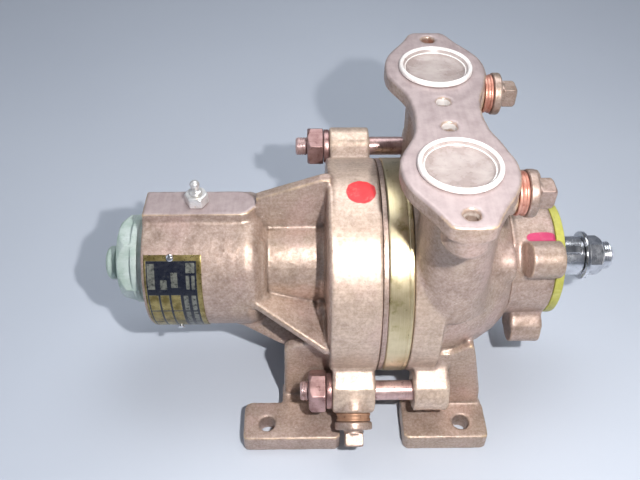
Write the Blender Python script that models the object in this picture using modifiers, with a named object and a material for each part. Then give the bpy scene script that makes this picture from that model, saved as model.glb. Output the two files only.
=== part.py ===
"""Bronze self-priming bilge pump, shaft along X, feet on Z = 0.

Sizes are in mm, laid out with X = 0 at the middle of the brass centre ring and Y = 0 on the
shaft. A parent empty then shifts everything so that the origin is the middle of the pump's
footprint. +X is the drive end, -Y is the front. Shapes made without a material are hidden
helpers for the boolean modifiers.
"""
import math

import bmesh
import bpy
from mathutils import Matrix, Vector

for old in list(bpy.data.objects):
    bpy.data.objects.remove(old, do_unlink=True)

MM = 0.001
GAP = 0.3            # clearance between separate pieces
DETAIL = 0.44        # share of the nominal facets kept on round pieces
SHARP_ANGLE = 32     # degrees between faces from which an edge is sharp

# Casing and shaft
AXIS_Z = 101.0       # shaft height over the floor
ECCENTRICITY = 7.4   # casing axis below the shaft axis
CASE_Z = AXIS_Z - ECCENTRICITY
SHAFT_AXIS = (0.0, AXIS_Z)   # y, z
CASE_AXIS = (0.0, CASE_Z)
CASE_R = 77.5
SHAFT_R = 14.2
SHAFT_BORE_R = SHAFT_R + 1.0
SHAFT_END = 160.7
BUTTON_END = -203.6

# Bearings
BEARING_R = 12.5     # shaft radius under the bearings
BEARING_OUT_R = 31.0
BEARING_HALF = 8.5   # half the width of one bearing

# Stations of the stacked pieces along X
BAND_X = (-45.0, -11.9)
RING_X = (-8.1, 8.1)
FLANGE_X = (8.4, 28.4)
CONE_END = 78.0
COVER_X0, COVER_X1 = 78.4, 108.3
HUB_R = 47.5
HUB_END = -170.5
NECK_R = 34.0
HUB_PAD_Z = AXIS_Z + 53.0
GREASE_AT = (-134.0, 0.0)    # x, y

# Ports and their plugs
PORT_X, PORT_Y = 25.5, 52.5
PORT_R = 20.0
BOLT_STEP = 39.3     # port centre to flange bolt hole
TOP_Z = AXIS_Z + 123.5
TOP_PLATE_T = 10.0
PLUG_X = 59.0        # seat of the port plug washers
PLUG_Z = AXIS_Z + 104
PLUG_HOLE_R = 9.3

# Tie studs and the ears around them
STUD_R = 6.9
STUD_AT = 91.3       # from the casing axis
STUD_ANGLE = -34.0   # from straight forward, negative is down
STUD_ANGLES = {"lower": STUD_ANGLE, "upper": STUD_ANGLE + 180}
EAR_R = 14.0
EAR_ROOT_HALF = 15.0

# Drain plug, radial along the lower stud's direction
DRAIN_X = -28.4
DRAIN_SEAT_R = 106.5

# Feet
FOOT_T = 15.6
PAD_Y0, PAD_Y1 = 67.0, 98.0
HOLE_Y = 85.0
BRACKET_HOLE_X, BODY_HOLE_X = -90.0, 50.7
WEB_T = 8.0          # ribs, walls and bracket legs

# End cover
LOBE_AT, LOBE_R = 51.0, 11.7
COVER_SCREW_AT = 29.5
SEAL_R = 20.0

SIDES = (("front", -1), ("back", 1))
PORTS = (("near", -1), ("far", 1))   # near is the front port

parts = bpy.data.collections.new("bilge_pump")
tools = bpy.data.collections.new("cutters")
bpy.context.scene.collection.children.link(parts)
bpy.context.scene.collection.children.link(tools)


# ---------------------------------------------------------------- materials
def material(name, colour, roughness, metallic):
    mat = bpy.data.materials.new(name)
    mat.use_nodes = True
    shader = mat.node_tree.nodes["Principled BSDF"]
    shader.inputs["Base Color"].default_value = (*colour, 1.0)
    shader.inputs["Roughness"].default_value = roughness
    shader.inputs["Metallic"].default_value = metallic
    mat.diffuse_color = (*colour, 1.0)
    return mat


BRONZE = material("cast_bronze", colour=(0.36, 0.24, 0.15), roughness=0.45, metallic=0.9)
BRASS = material("brass", colour=(0.62, 0.47, 0.18), roughness=0.3, metallic=1.0)
STUD_BRONZE = material("stud_bronze", colour=(0.45, 0.22, 0.15), roughness=0.35, metallic=1.0)
COPPER = material("copper", colour=(0.72, 0.28, 0.16), roughness=0.35, metallic=1.0)
GREEN = material("green_nylon", colour=(0.33, 0.45, 0.33), roughness=0.5, metallic=0.0)
STEEL = material("stainless", colour=(0.6, 0.6, 0.62), roughness=0.2, metallic=1.0)
CHROME = material("chrome", colour=(0.75, 0.75, 0.77), roughness=0.1, metallic=1.0)
YELLOW = material("yellow_register", colour=(0.75, 0.7, 0.1), roughness=0.5, metallic=0.0)
WHITE = material("white_plastic", colour=(0.8, 0.78, 0.76), roughness=0.35, metallic=0.0)
RUBBER = material("black_rubber", colour=(0.03, 0.03, 0.03), roughness=0.7, metallic=0.0)
PLATE_BLACK = material("nameplate", colour=(0.06, 0.06, 0.06), roughness=0.3, metallic=0.5)
CARBON = material("carbon", colour=(0.05, 0.05, 0.055), roughness=0.4, metallic=0.0)


# ---------------------------------------------------------------- places and profiles
def polar(radius, angle, z=AXIS_Z):
    """(y, z) at radius from the X line at height z; 0 is straight forward, 90 is up."""
    turn = math.radians(angle)
    return -radius * math.cos(turn), z + radius * math.sin(turn)


def stud_at(side):
    return polar(STUD_AT, STUD_ANGLES[side], CASE_Z)


def pivoted(degrees, axis, x=0.0):
    """Rotation about the X, Y or Z line through a point on the shaft axis."""
    pivot = Vector((x, 0, AXIS_Z)) * MM
    rotation = Matrix.Rotation(math.radians(degrees), 4, axis)
    return Matrix.Translation(pivot) @ rotation @ Matrix.Translation(-pivot)


def mirrored(points, sign):
    return [(x, sign * y) for x, y in points]


def shifted(profile, offset):
    """Profile moved along its axis."""
    return [(radius, offset + place) for radius, place in profile]


def ring_profile(outer, inner, low, high, chamfer=0.0):
    """Closed ring profile, its outer corners chamfered."""
    if chamfer:
        return [(inner, high), (outer - chamfer, high), (outer, high - chamfer),
                (outer, low + chamfer), (outer - chamfer, low), (inner, low)]
    return [(inner, high), (outer, high), (outer, low), (inner, low)]


# ---------------------------------------------------------------- shape builders
def facets(count):
    """Facet count of a round piece: nuts and square heads keep theirs."""
    return count if count <= 8 else max(10, 2 * round(count * DETAIL / 2))


def put(piece, mat):
    """File a shape with the parts, or with the hidden helpers if it has no material."""
    for collection in list(piece.users_collection):
        collection.objects.unlink(piece)
    if mat is None:
        tools.objects.link(piece)
        piece.hide_render = True
        piece.display_type = "WIRE"
    else:
        parts.objects.link(piece)
        piece.data.materials.clear()
        piece.data.materials.append(mat)
        piece.data.shade_smooth()
        piece.data.set_sharp_from_angle(angle=math.radians(SHARP_ANGLE))
    return piece


def box(name, x, y, z, mat=None):
    """Box given by its (low, high) ranges."""
    bpy.ops.mesh.primitive_cube_add(size=1)
    piece = bpy.context.object
    piece.name = name
    size = [(high - low) * MM for low, high in (x, y, z)]
    piece.data.transform(Matrix.Diagonal((*size, 1.0)))
    piece.location = Vector([(low + high) / 2 for low, high in (x, y, z)]) * MM
    return put(piece, mat)


def spoke_box(name, x, reach, half, angle, mat=None, z=AXIS_Z):
    """Box between two radii along a polar direction, `half` to each side of it."""
    piece = box(name, x, (-reach[1], -reach[0]), (z - half, z + half), mat)
    piece.rotation_euler = (-math.radians(angle), 0, 0)
    centre = polar((reach[0] + reach[1]) / 2, angle, z)
    piece.location = Vector(((x[0] + x[1]) / 2, *centre)) * MM
    return piece


def rod(name, radius, start, end, mat=None, sides=32, roll=0.0, tip_radius=None):
    """Cylinder, prism or cone between two points; roll is in degrees."""
    start, end = Vector(start), Vector(end)
    length = (end - start).length
    sides = facets(sides)
    if tip_radius is None:
        bpy.ops.mesh.primitive_cylinder_add(
            vertices=sides, radius=radius * MM, depth=length * MM)
    else:
        bpy.ops.mesh.primitive_cone_add(
            vertices=sides, radius1=radius * MM, radius2=tip_radius * MM, depth=length * MM)
    piece = bpy.context.object
    piece.name = name
    piece.data.transform(Matrix.Rotation(math.radians(roll), 4, "Z"))
    piece.rotation_mode = "QUATERNION"
    piece.rotation_quaternion = (end - start).normalized().to_track_quat("Z", "Y")
    piece.location = (start + end) / 2 * MM
    return put(piece, mat)


def rod_x(name, radius, x, at=SHAFT_AXIS, mat=None, sides=32, roll=0.0):
    """Rod along X over the range x, centred on (y, z)."""
    return rod(name, radius, (x[0], *at), (x[1], *at), mat, sides, roll)


def rod_z(name, radius, at, z, sides):
    """Upright helper rod over the range z, centred on (x, y)."""
    return rod(name, radius, (*at, z[0]), (*at, z[1]), sides=sides)


def spoke_rod(name, radius, x, reach, angle, mat=None, sides=32, z=AXIS_Z, tip_radius=None):
    """Rod between two radii along a polar direction."""
    start, end = ((x, *polar(distance, angle, z)) for distance in reach)
    return rod(name, radius, start, end, mat, sides, tip_radius=tip_radius)


def turned(name, profile, mat=None, steps=32, axis="X", at=(0.0, *SHAFT_AXIS)):
    """Turned piece about X or Z. Profile points are (radius, place along the axis), from the
    high end down the outer side; a profile that starts off the axis is closed, with a bore."""
    mesh = bpy.data.meshes.new(name)
    outline = bmesh.new()
    verts = [outline.verts.new((radius * MM, 0, place * MM)) for radius, place in profile]
    for i in range(len(verts) - 1):
        outline.edges.new((verts[i], verts[i + 1]))
    if profile[0][0] > 0.01:
        outline.edges.new((verts[-1], verts[0]))
    outline.to_mesh(mesh)
    outline.free()
    piece = bpy.data.objects.new(name, mesh)
    screw = piece.modifiers.new("turn", "SCREW")
    screw.axis = "Z"
    screw.angle = math.tau
    screw.steps = facets(steps)
    screw.render_steps = facets(steps)
    screw.use_merge_vertices = True
    screw.merge_threshold = 0.00001
    screw.use_smooth_shade = True
    if axis == "X":
        piece.rotation_euler = (0, math.radians(90), 0)
    piece.location = Vector(at) * MM
    return put(piece, mat)


def curve_to_mesh(source):
    """Replace a curve object by a plain mesh object with the same name and place."""
    tools.objects.link(source)
    bpy.context.view_layer.update()
    depsgraph = bpy.context.evaluated_depsgraph_get()
    mesh = bpy.data.meshes.new_from_object(source.evaluated_get(depsgraph))
    cleaned = bmesh.new()
    cleaned.from_mesh(mesh)
    bmesh.ops.remove_doubles(cleaned, verts=cleaned.verts, dist=0.000005)
    bmesh.ops.recalc_face_normals(cleaned, faces=cleaned.faces)
    cleaned.to_mesh(mesh)
    cleaned.free()
    name = source.name
    matrix = source.matrix_world.copy()
    bpy.data.objects.remove(source, do_unlink=True)
    piece = bpy.data.objects.new(name, mesh)
    piece.matrix_world = matrix
    return piece


def plate(name, points, thick, plane, offset, turn=None):
    """Flat helper outline extruded both ways about `offset`. Plane XZ, XY or YZ."""
    curve = bpy.data.curves.new(name, "CURVE")
    curve.dimensions = "2D"
    curve.fill_mode = "BOTH"
    curve.extrude = thick / 2 * MM
    line = curve.splines.new("POLY")
    line.points.add(len(points) - 1)
    for point, (across, along) in zip(line.points, points):
        point.co = (across * MM, along * MM, 0, 1)
    line.use_cyclic_u = True
    flat = bpy.data.objects.new(name, curve)
    if plane == "XZ":
        place = Matrix(((1, 0, 0, 0), (0, 0, -1, offset * MM), (0, 1, 0, 0), (0, 0, 0, 1)))
    elif plane == "YZ":
        place = Matrix(((0, 0, 1, offset * MM), (1, 0, 0, 0), (0, 1, 0, 0), (0, 0, 0, 1)))
    else:
        place = Matrix.Translation((0, 0, offset * MM))
    flat.matrix_world = (turn or Matrix.Identity(4)) @ place
    return put(curve_to_mesh(flat), None)


def boolean(piece, operation, *others):
    for other in others:
        mod = piece.modifiers.new(f"{operation.lower()}_{len(piece.modifiers)}", "BOOLEAN")
        mod.operation = operation
        mod.object = other
        mod.solver = "EXACT"


def join(piece, *others):
    boolean(piece, "UNION", *others)


def cut(piece, *others):
    boolean(piece, "DIFFERENCE", *others)


# ---------------------------------------------------------------- features of both castings
def add_ears(piece, prefix, x):
    """Round bosses for the tie studs, each with a root block into the casing rim."""
    for side, angle in STUD_ANGLES.items():
        join(piece,
             rod_x(f"{prefix}_ear_{side}_boss", EAR_R, x, stud_at(side), sides=28),
             spoke_box(f"{prefix}_ear_{side}_root", (x[0] + 0.4, x[1] - 0.4),
                       (58.0, STUD_AT + 0.5), EAR_ROOT_HALF, angle, z=CASE_Z))


def cut_stud_holes(piece, prefix, x):
    for side in STUD_ANGLES:
        cut(piece, rod_x(f"{prefix}_stud_hole_{side}", STUD_R + GAP, x, stud_at(side),
                         sides=24))


def add_feet(piece, prefix, pad, leg, leg_thick, leg_y, sole_x, sole_y0):
    """Pad, upright leg and the sole between them at the front and at the back."""
    for side, sign in SIDES:
        join(piece,
             plate(f"{prefix}_pad_{side}", mirrored(pad, sign), FOOT_T, "XY", FOOT_T / 2),
             plate(f"{prefix}_leg_{side}", leg, leg_thick, "XZ", sign * leg_y),
             box(f"{prefix}_sole_{side}", sole_x,
                 sorted((sign * sole_y0, sign * (PAD_Y0 + 2.0))), (0.6, FOOT_T - 0.5)))


def foot_hole(name, x, y):
    """Bolt hole with a countersunk mouth."""
    return turned(name, [(0, 20.0), (9.2, 20.0), (7.2, FOOT_T - 0.02), (5.8, FOOT_T - 1.5),
                         (5.8, -4.0), (0, -4.0)], steps=24, axis="Z", at=(x, y, 0))


# ---------------------------------------------------------------- bearing bracket
bracket = turned("bearing_bracket", [
    (0, -20.0), (30.0, -20.0), (70.5, -43.0), (71.5, -45.0), (70.0, -46.4), (40.0, -47.0),
    (NECK_R + 1.0, -48.2), (NECK_R, -51.0), (NECK_R, -87.0), (38.0, -91.5),
    (HUB_R - 3.0, -94.0), (HUB_R, -97.5), (HUB_R, HUB_END + 1.2), (HUB_R - 1.2, HUB_END),
    (0, HUB_END)], BRONZE, 56)
# x, y
hub_pad_outline = [
    (HUB_END + 0.7, -12.2), (-104, -12.2), (-99, -10.5), (-96, -6.5), (-95, 0), (-96, 6.5),
    (-99, 10.5), (-104, 12.2), (HUB_END + 0.7, 12.2)]
HUB_PAD_T = 16.0
# x, z
top_rib_outline = [
    (-98.0, AXIS_Z + 30), (-98.0, AXIS_Z + 56.5), (-95.0, AXIS_Z + 58.5),
    (-47.0, AXIS_Z + 76.0), (-44.0, AXIS_Z + 74.0), (-44.0, AXIS_Z + 30)]
join(bracket,
     rod_x("bracket_band", CASE_R, BAND_X, CASE_AXIS, sides=72),
     plate("bracket_hub_pad", hub_pad_outline, HUB_PAD_T, "XY", HUB_PAD_Z - HUB_PAD_T / 2),
     plate("bracket_rib_up", top_rib_outline, WEB_T, "XZ", 0.0))

# x, distance from the shaft, for the back side
side_rib_outline = [
    (-101.5, 28), (-101.5, 43.5), (-98.0, 46.5), (-44.7, 74.0), (-40.5, 72.0), (-40.5, 28)]
gusset_outline = [
    (-116.0, 38), (-112.0, 47.8), (-77.0, 66.0), (-46.5, 80.5), (-44.0, 79.0), (-44.0, 30),
    (-100.0, 30)]
RIB_FALL = 20.3      # degrees the side ribs fall towards the casing, from x = -98
GUSSET_DROP = 55     # degrees the gussets point below level
rib_slope = pivoted(RIB_FALL, "Y", x=-98.0)
for side, sign in SIDES:
    join(bracket, plate(f"bracket_rib_{side}", mirrored(side_rib_outline, sign), WEB_T, "XY",
                        AXIS_Z, rib_slope))
for side, sign in SIDES:
    join(bracket, plate(f"bracket_gusset_{side}", mirrored(gusset_outline, sign), WEB_T, "XY",
                        AXIS_Z, pivoted(-sign * GUSSET_DROP, "X")))

PAD_X0, PAD_X1 = -107.0, -37.5
# x, y of the back pad
bracket_pad_outline = [
    (PAD_X0 + 5, PAD_Y0), (PAD_X1, PAD_Y0), (PAD_X1, PAD_Y1 - 3), (PAD_X1 - 3, PAD_Y1),
    (PAD_X0 + 4, PAD_Y1), (PAD_X0 + 1, PAD_Y1 - 1), (PAD_X0, PAD_Y1 - 4),
    (PAD_X0, PAD_Y0 + 5), (PAD_X0 + 1.5, PAD_Y0 + 1.5)]
# x, z
bracket_leg_outline = [
    (-78.5, 6.0), (-76.6, AXIS_Z - 33.0), (-74.0, AXIS_Z - 30.0), (-53.0, AXIS_Z - 22.0),
    (-44.0, AXIS_Z - 22.0), (-44.0, 6.0)]
add_feet(bracket, "bracket", bracket_pad_outline, bracket_leg_outline, leg_thick=WEB_T,
         leg_y=55.4, sole_x=(-79.4, -38.4), sole_y0=50.0)
# y, z
bracket_wall_outline = [
    (-58.0, 5.0), (-50.0, 5.0), (-40.0, 17.0), (40.0, 17.0), (50.0, 5.0), (58.0, 5.0),
    (58.0, AXIS_Z - 30), (40.0, AXIS_Z - 10), (-40.0, AXIS_Z - 10), (-58.0, AXIS_Z - 30)]
join(bracket, plate("bracket_wall", bracket_wall_outline, WEB_T, "YZ", -48.6))
add_ears(bracket, "bracket", (-43.2, -13.6))
join(bracket, spoke_rod("bracket_drain_boss", 13.6, DRAIN_X, (97.0, DRAIN_SEAT_R),
                        STUD_ANGLE, sides=28, z=CASE_Z))

# Stepped bore: shaft, seals, bearing seat with a circlip groove
SEAT_R = BEARING_OUT_R + 0.6
GROOVE_R = BEARING_OUT_R + 2.9
cut(bracket,
    turned("bracket_bore", [
        (0, -10.0), (SHAFT_BORE_R, -10.0), (SHAFT_BORE_R, -50.0), (20.5, -50.0),
        (20.5, -104.0), (SEAT_R, -104.0), (SEAT_R, -161.0), (GROOVE_R, -161.0),
        (GROOVE_R, -163.3), (SEAT_R, -163.3), (SEAT_R, -175.0), (0, -175.0)], steps=48),
    rod_x("bracket_cavity", 60.0, (-38.0, -5.0), CASE_AXIS, sides=56))
cut_stud_holes(bracket, "bracket", (-60, 0))
cut(bracket,
    spoke_rod("bracket_drain_hole", 5.8, DRAIN_X, (99.0, 115.0), STUD_ANGLE, sides=20,
              z=CASE_Z),
    rod_z("bracket_grease_hole", 4.0, GREASE_AT, (AXIS_Z + 20, AXIS_Z + 70), 16))
for side, sign in SIDES:
    cut(bracket, foot_hole(f"bracket_bolt_hole_{side}", BRACKET_HOLE_X, sign * HOLE_Y))
PLATE_SCREWS = [(-150.5, 45.4), (-150.5, -37.6)]     # x, polar angle
PLATE_SCREW_HOLE_R = 1.7
for i, (x, angle) in enumerate(PLATE_SCREWS):
    cut(bracket, spoke_rod(f"bracket_plate_screw_hole_{i}", PLATE_SCREW_HOLE_R, x,
                           (43.0, 52.0), angle, sides=12))

# ---------------------------------------------------------------- pump body
body = turned("pump_body", [
    (0, CONE_END), (43.0, CONE_END), (46.5, CONE_END - 1.5), (53.5, 69.5), (60.5, 59.0),
    (65.0, 49.0), (68.0, 40.0), (69.5, 31.0), (69.5, 12.0), (0, 12.0)], BRONZE, 56)


def port_outline():
    """Top plate: two port lobes with flat ends and a waist, wider on the +X side."""
    # x from the port centres, y, along the -X edge of the back half
    half = [(-11.5, 102.5), (-19.0, 88.0), (-29.5, 72.5), (-32.6, 62.5), (-33.5, 52.5),
            (-32.8, 45.0), (-30.5, 38.5), (-25.0, 28.0), (-21.5, 19.0), (-20.0, 9.0),
            (-19.8, 0.0)]
    left = half + [(x, -y) for x, y in reversed(half[:-1])]
    right = [(-x * (1.0 if abs(y) > 30 else 1.12), y) for x, y in reversed(left)]
    return [(PORT_X + x, y) for x, y in left + right]


join(body,
     rod_x("body_flange", CASE_R, FLANGE_X, CASE_AXIS, sides=72),
     plate("body_top_plate", port_outline(), TOP_PLATE_T, "XY", TOP_Z - TOP_PLATE_T / 2),
     box("body_saddle", (PORT_X - 14, PORT_X + 14), (-44, 44), (AXIS_Z + 45, TOP_Z - 4)))
LUG_Y, LUG_R = PORT_Y + 38.0, 13.0
for side, sign in PORTS:
    join(body,
         rod(f"body_neck_{side}", 23.6, (33.4, sign * (PORT_Y - 2), AXIS_Z + 12),
             (31.8, sign * (PORT_Y - 1), TOP_Z - 3), sides=40),
         rod_z(f"body_port_lug_{side}", LUG_R, (PORT_X, sign * LUG_Y),
               (TOP_Z - 24, TOP_Z - 3), 24),
         box(f"body_port_link_{side}", (PORT_X - 12.6, PORT_X + 12.6),
             sorted((sign * 70.0, sign * 90.4)), (TOP_Z - 23.6, TOP_Z - 3.3)),
         rod_x(f"body_plug_boss_{side}", 12.5, (PORT_X + 8, PLUG_X), (sign * PORT_Y, PLUG_Z),
               sides=28))
add_ears(body, "body", (13.6, 37.8))
join(body, rod_x("body_front_lug", 13.2, (60.0, 77.4), polar(43.8, 39.5), sides=28))

PAD_X0, PAD_X1 = 8.3, 69.0
# x, y of the back pad
body_pad_outline = [
    (PAD_X0, PAD_Y0), (PAD_X1 - 5, PAD_Y0), (PAD_X1 - 1.5, PAD_Y0 + 1.5),
    (PAD_X1, PAD_Y0 + 5), (PAD_X1, PAD_Y1 - 4), (PAD_X1 - 1, PAD_Y1 - 1),
    (PAD_X1 - 4, PAD_Y1), (PAD_X0 + 3, PAD_Y1), (PAD_X0, PAD_Y1 - 3)]
# x, z
body_leg_outline = [
    (30.0, 6.0), (30.0, AXIS_Z - 27.0), (37.0, AXIS_Z - 27.0), (51.0, AXIS_Z - 17.5),
    (53.5, AXIS_Z - 20.0), (56.5, AXIS_Z - 32.0), (64.5, AXIS_Z - 69.0), (67.4, 6.0)]
add_feet(body, "body", body_pad_outline, body_leg_outline, leg_thick=9.0, leg_y=64.5,
         sole_x=(9.4, 67.4), sole_y0=59.0)
# y, z
body_wall_outline = [
    (-68.0, 5.0), (-56.0, 5.0), (-44.0, 17.0), (44.0, 17.0), (56.0, 5.0), (68.0, 5.0),
    (68.0, AXIS_Z - 28), (40.0, AXIS_Z - 8), (-40.0, AXIS_Z - 8), (-68.0, AXIS_Z - 28)]
join(body, plate("body_wall", body_wall_outline, WEB_T, "YZ", 34.4))

cut(body,
    turned("body_bore", [
        (0, 90.0), (22.2, 90.0), (22.2, 46.0), (SHAFT_BORE_R, 46.0), (SHAFT_BORE_R, 2.0),
        (0, 2.0)], steps=44),
    rod_x("body_recess", 64.9, (3.0, 11.7), CASE_AXIS, sides=56))
# Each port leads down a pipe into a chamber that opens through the -X face
for side, sign in PORTS:
    port_y = sign * PORT_Y
    cut(body,
        rod_z(f"body_port_{side}", PORT_R, (PORT_X, port_y), (TOP_Z - 10.5, TOP_Z + 10), 40),
        rod_z(f"body_pipe_{side}", 17.4, (PORT_X + 1.5, port_y), (AXIS_Z + 69.5, TOP_Z - 6),
              36),
        box(f"body_chamber_{side}", (18.5, 39.5), sorted((sign * 30.0, sign * 58.0)),
            (AXIS_Z + 4, AXIS_Z + 73)),
        box(f"body_mouth_{side}", (4.0, 20.0), sorted((sign * 31.0, sign * 46.0)),
            (AXIS_Z + 6, AXIS_Z + 26)),
        rod_x(f"body_plug_hole_{side}", PLUG_HOLE_R, (PORT_X + 12, 70.0), (port_y, PLUG_Z),
              sides=24),
        foot_hole(f"body_bolt_hole_{side}", BODY_HOLE_X, sign * HOLE_Y))
    for end in (-1, 1):
        depth = 19.0 if end == sign else 14.0    # deeper in the lugs
        cut(body, rod_z(f"body_flange_hole_{side}_{end + 1}", 4.5,
                        (PORT_X, port_y + end * BOLT_STEP), (TOP_Z - depth, TOP_Z + 8), 20))
cut_stud_holes(body, "body", (5, 34.0))
cover_screw_places = [polar(COVER_SCREW_AT, 90 * i) for i in range(4)]
for i, place in enumerate(cover_screw_places):
    cut(body, rod_x(f"body_cover_screw_hole_{i}", 2.8, (64.0, 90), place, sides=14))

# ---------------------------------------------------------------- ring and port plates
ring = rod_x("centre_ring", CASE_R, RING_X, CASE_AXIS, BRASS, 80)
cut(ring, rod_x("ring_bore", 62.0, (-12, 12), CASE_AXIS, sides=64))
inner_plate = rod_x("port_plate_inner", CASE_R - 0.4, (-11.6, -8.4), CASE_AXIS, BRONZE, 64)
outer_plate = rod_x("port_plate_outer", 64.0, (8.4, 11.4), CASE_AXIS, BRONZE, 48)
for port_plate, bore_x in ((inner_plate, (-14.0, -4.0)), (outer_plate, (5.0, 15.0))):
    cut(port_plate, rod_x(f"{port_plate.name}_bore", SHAFT_BORE_R, bore_x))
for sign in (-1, 1):
    cut(outer_plate, box(f"plate_window_{sign + 1}", (5, 15),
                         sorted((sign * 31.0, sign * 45.0)), (AXIS_Z + 7, AXIS_Z + 25)))
    cut(inner_plate, box(f"plate_channel_{sign + 1}", (-15, -5),
                         sorted((sign * 30.0, sign * 42.0)), (AXIS_Z - 12, AXIS_Z + 12)))

# ---------------------------------------------------------------- end cover
cover = turned("end_cover", [
    (0, COVER_X1), (40.6, COVER_X1), (41.4, COVER_X1 - 0.8), (41.4, 82.0),
    (42.3, COVER_X0 + 1.2), (42.0, COVER_X0), (21.7, COVER_X0), (21.7, 72.5), (0, 72.5)],
    BRONZE, 48)
lobe_angles = [42.0 + 90.0 * i for i in range(4)]
for i, angle in enumerate(lobe_angles):
    join(cover,
         rod_x(f"cover_lobe_{i}", LOBE_R, (86.0, 107.6), polar(LOBE_AT, angle), sides=28),
         spoke_box(f"cover_root_{i}", (86.4, 107.2), (30.0, LOBE_AT), LOBE_R - 0.3, angle))
cut(cover, turned("cover_bore", [
    (0, 120.0), (20.4, 120.0), (20.4, 98.0), (16.0, 98.0), (16.0, 60.0), (0, 60.0)], steps=44))
for i, (angle, place) in enumerate(zip(lobe_angles, cover_screw_places)):
    cut(cover,
        rod_x(f"cover_tapped_hole_{i}", 4.2, (92.0, 115), polar(LOBE_AT, angle), sides=16),
        turned(f"cover_screw_hole_{i}", [
            (0, 120.0), (4.8, 120.0), (4.8, 102.0), (2.8, 102.0), (2.8, 70.0), (0, 70.0)],
            steps=16, at=(0, *place)))

# Cover screws with hexagon sockets
for i, place in enumerate(cover_screw_places, start=1):
    screw = turned(f"cover_screw_{i}", [
        (0, 107.4), (4.1, 107.4), (4.5, 107.0), (4.5, 102.3), (2.5, 102.3), (2.5, 65.0),
        (0, 65.0)], STEEL, 16, at=(0, *place))
    cut(screw, rod_x(f"cover_socket_{i}", 2.3, (104.4, 110), place, sides=6))
turned("register_ring", ring_profile(41.0, 34.8, COVER_X1 + GAP, 114.4, chamfer=0.6),
       YELLOW, 56)

# ---------------------------------------------------------------- shaft and keys
DRIVE_KEY_ANGLE, IMPELLER_KEY_ANGLE = 62.0, 152.0
shaft = turned("shaft", [
    (0, SHAFT_END), (8.6, SHAFT_END), (10.0, 158.8), (10.0, 138.3), (SHAFT_R, 138.3),
    (SHAFT_R, 14.0), (13.2, 13.9), (13.2, -12.5), (BEARING_R, -12.6),
    (BEARING_R, -161.0), (10.0, -161.1), (10.0, -172.0), (0, -172.0)], STEEL, 44)
cut(shaft,
    spoke_box("shaft_keyway", (113.7, 135.3), (9.7, 20.0), 3.0 + GAP, DRIVE_KEY_ANGLE),
    spoke_box("shaft_impeller_keyway", (-7.3, 7.3), (10.2, 18.0), 2.0 + GAP,
              IMPELLER_KEY_ANGLE))
spoke_box("drive_key", (114.0, 135.0), (10.0, 15.6), 3.0, DRIVE_KEY_ANGLE, STEEL)
spoke_box("impeller_key", (-7.0, 7.0), (10.5, 15.3), 2.0, IMPELLER_KEY_ANGLE, STEEL)

# ---------------------------------------------------------------- impeller
# Six bars through the shaft axis, 30 degrees apart, make twelve blades
impeller = rod_x("impeller", 21.0, (-7.6, 7.6), mat=BRASS, sides=36)
for i in range(6):
    join(impeller, spoke_box(f"impeller_blade_{i}", (-7.2, 7.2), (-53.6, 53.6), 2.4,
                             -(30 * i + 11)))
cut(impeller,
    rod_x("impeller_bore", 13.6, (-12, 12), sides=36),
    spoke_box("impeller_key_slot", (-11, 11), (8.0, 15.7), 2.0 + GAP, IMPELLER_KEY_ANGLE))

# ---------------------------------------------------------------- shaft nuts
THREAD_BORE_R = 10.5
turned("drive_washer", ring_profile(17.5, 10.4, 138.6, 141.4, chamfer=0.4), STEEL, 36)
nut = rod_x("drive_nut", 14.6, (141.8, 153.0), mat=STEEL, sides=6, roll=14)
cut(nut, rod_x("drive_nut_bore", THREAD_BORE_R, (138, 158)))
locknut = rod_x("bearing_locknut", 17.0, (-169.0, -161.3), mat=STEEL, sides=6)
cut(locknut, rod_x("locknut_bore", THREAD_BORE_R, (-175, -155)))

# ---------------------------------------------------------------- bearings
BALL_R, PITCH_R, BALLS = 5.1, 21.9, 7
INNER_R = BEARING_R + GAP
# radius, place from the middle of the bearing
inner_race = [
    (INNER_R, BEARING_HALF), (17.4, BEARING_HALF), (17.4, 3.2), (16.2, 0), (17.4, -3.2),
    (17.4, -BEARING_HALF), (INNER_R, -BEARING_HALF)]
outer_race = [
    (26.5, BEARING_HALF), (BEARING_OUT_R, BEARING_HALF), (BEARING_OUT_R, -BEARING_HALF),
    (26.5, -BEARING_HALF), (26.5, -3.2), (27.9, 0), (26.5, 3.2)]
for name, low_x in (("outboard", -160.6), ("inboard", -121.3)):
    middle = low_x + BEARING_HALF
    turned(f"bearing_inner_{name}", shifted(inner_race, middle), STEEL, 44)
    turned(f"bearing_outer_{name}", shifted(outer_race, middle), STEEL, 44)
    cage = turned(f"bearing_balls_{name}", ring_profile(
        PITCH_R + 1.3, PITCH_R - 1.3, middle - 3.4, middle + 3.4), BRASS, 28)
    for i in range(BALLS):
        angle = math.degrees(math.tau * i / BALLS + 0.2)
        bpy.ops.mesh.primitive_uv_sphere_add(segments=8, ring_count=4, radius=BALL_R * MM)
        ball = bpy.context.object
        ball.name = f"ball_{name}_{i}"
        ball.location = Vector((middle, *polar(PITCH_R, angle))) * MM
        join(cage, put(ball, None))
turned("bearing_spacer", ring_profile(15.6, INNER_R, -143.3, -121.6), STEEL, 44)
circlip = turned("bearing_circlip",
                 ring_profile(BEARING_OUT_R + 2.2, 28.2, -163.0, -161.3), STEEL, 40)
cut(circlip, box("circlip_gap", (-165, -159), (-6, 6), (AXIS_Z - 40, AXIS_Z - 20)))


# ---------------------------------------------------------------- seals
def lip_seal(name, inner, low, high):
    """Lip seal with a hollow face towards +X."""
    middle = (SEAL_R + inner) / 2
    turned(name, [(inner, high), (middle, low + 2.2), (middle + 1.0, high), (SEAL_R, high),
                  (SEAL_R, low), (inner, low)], RUBBER, 44)


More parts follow.
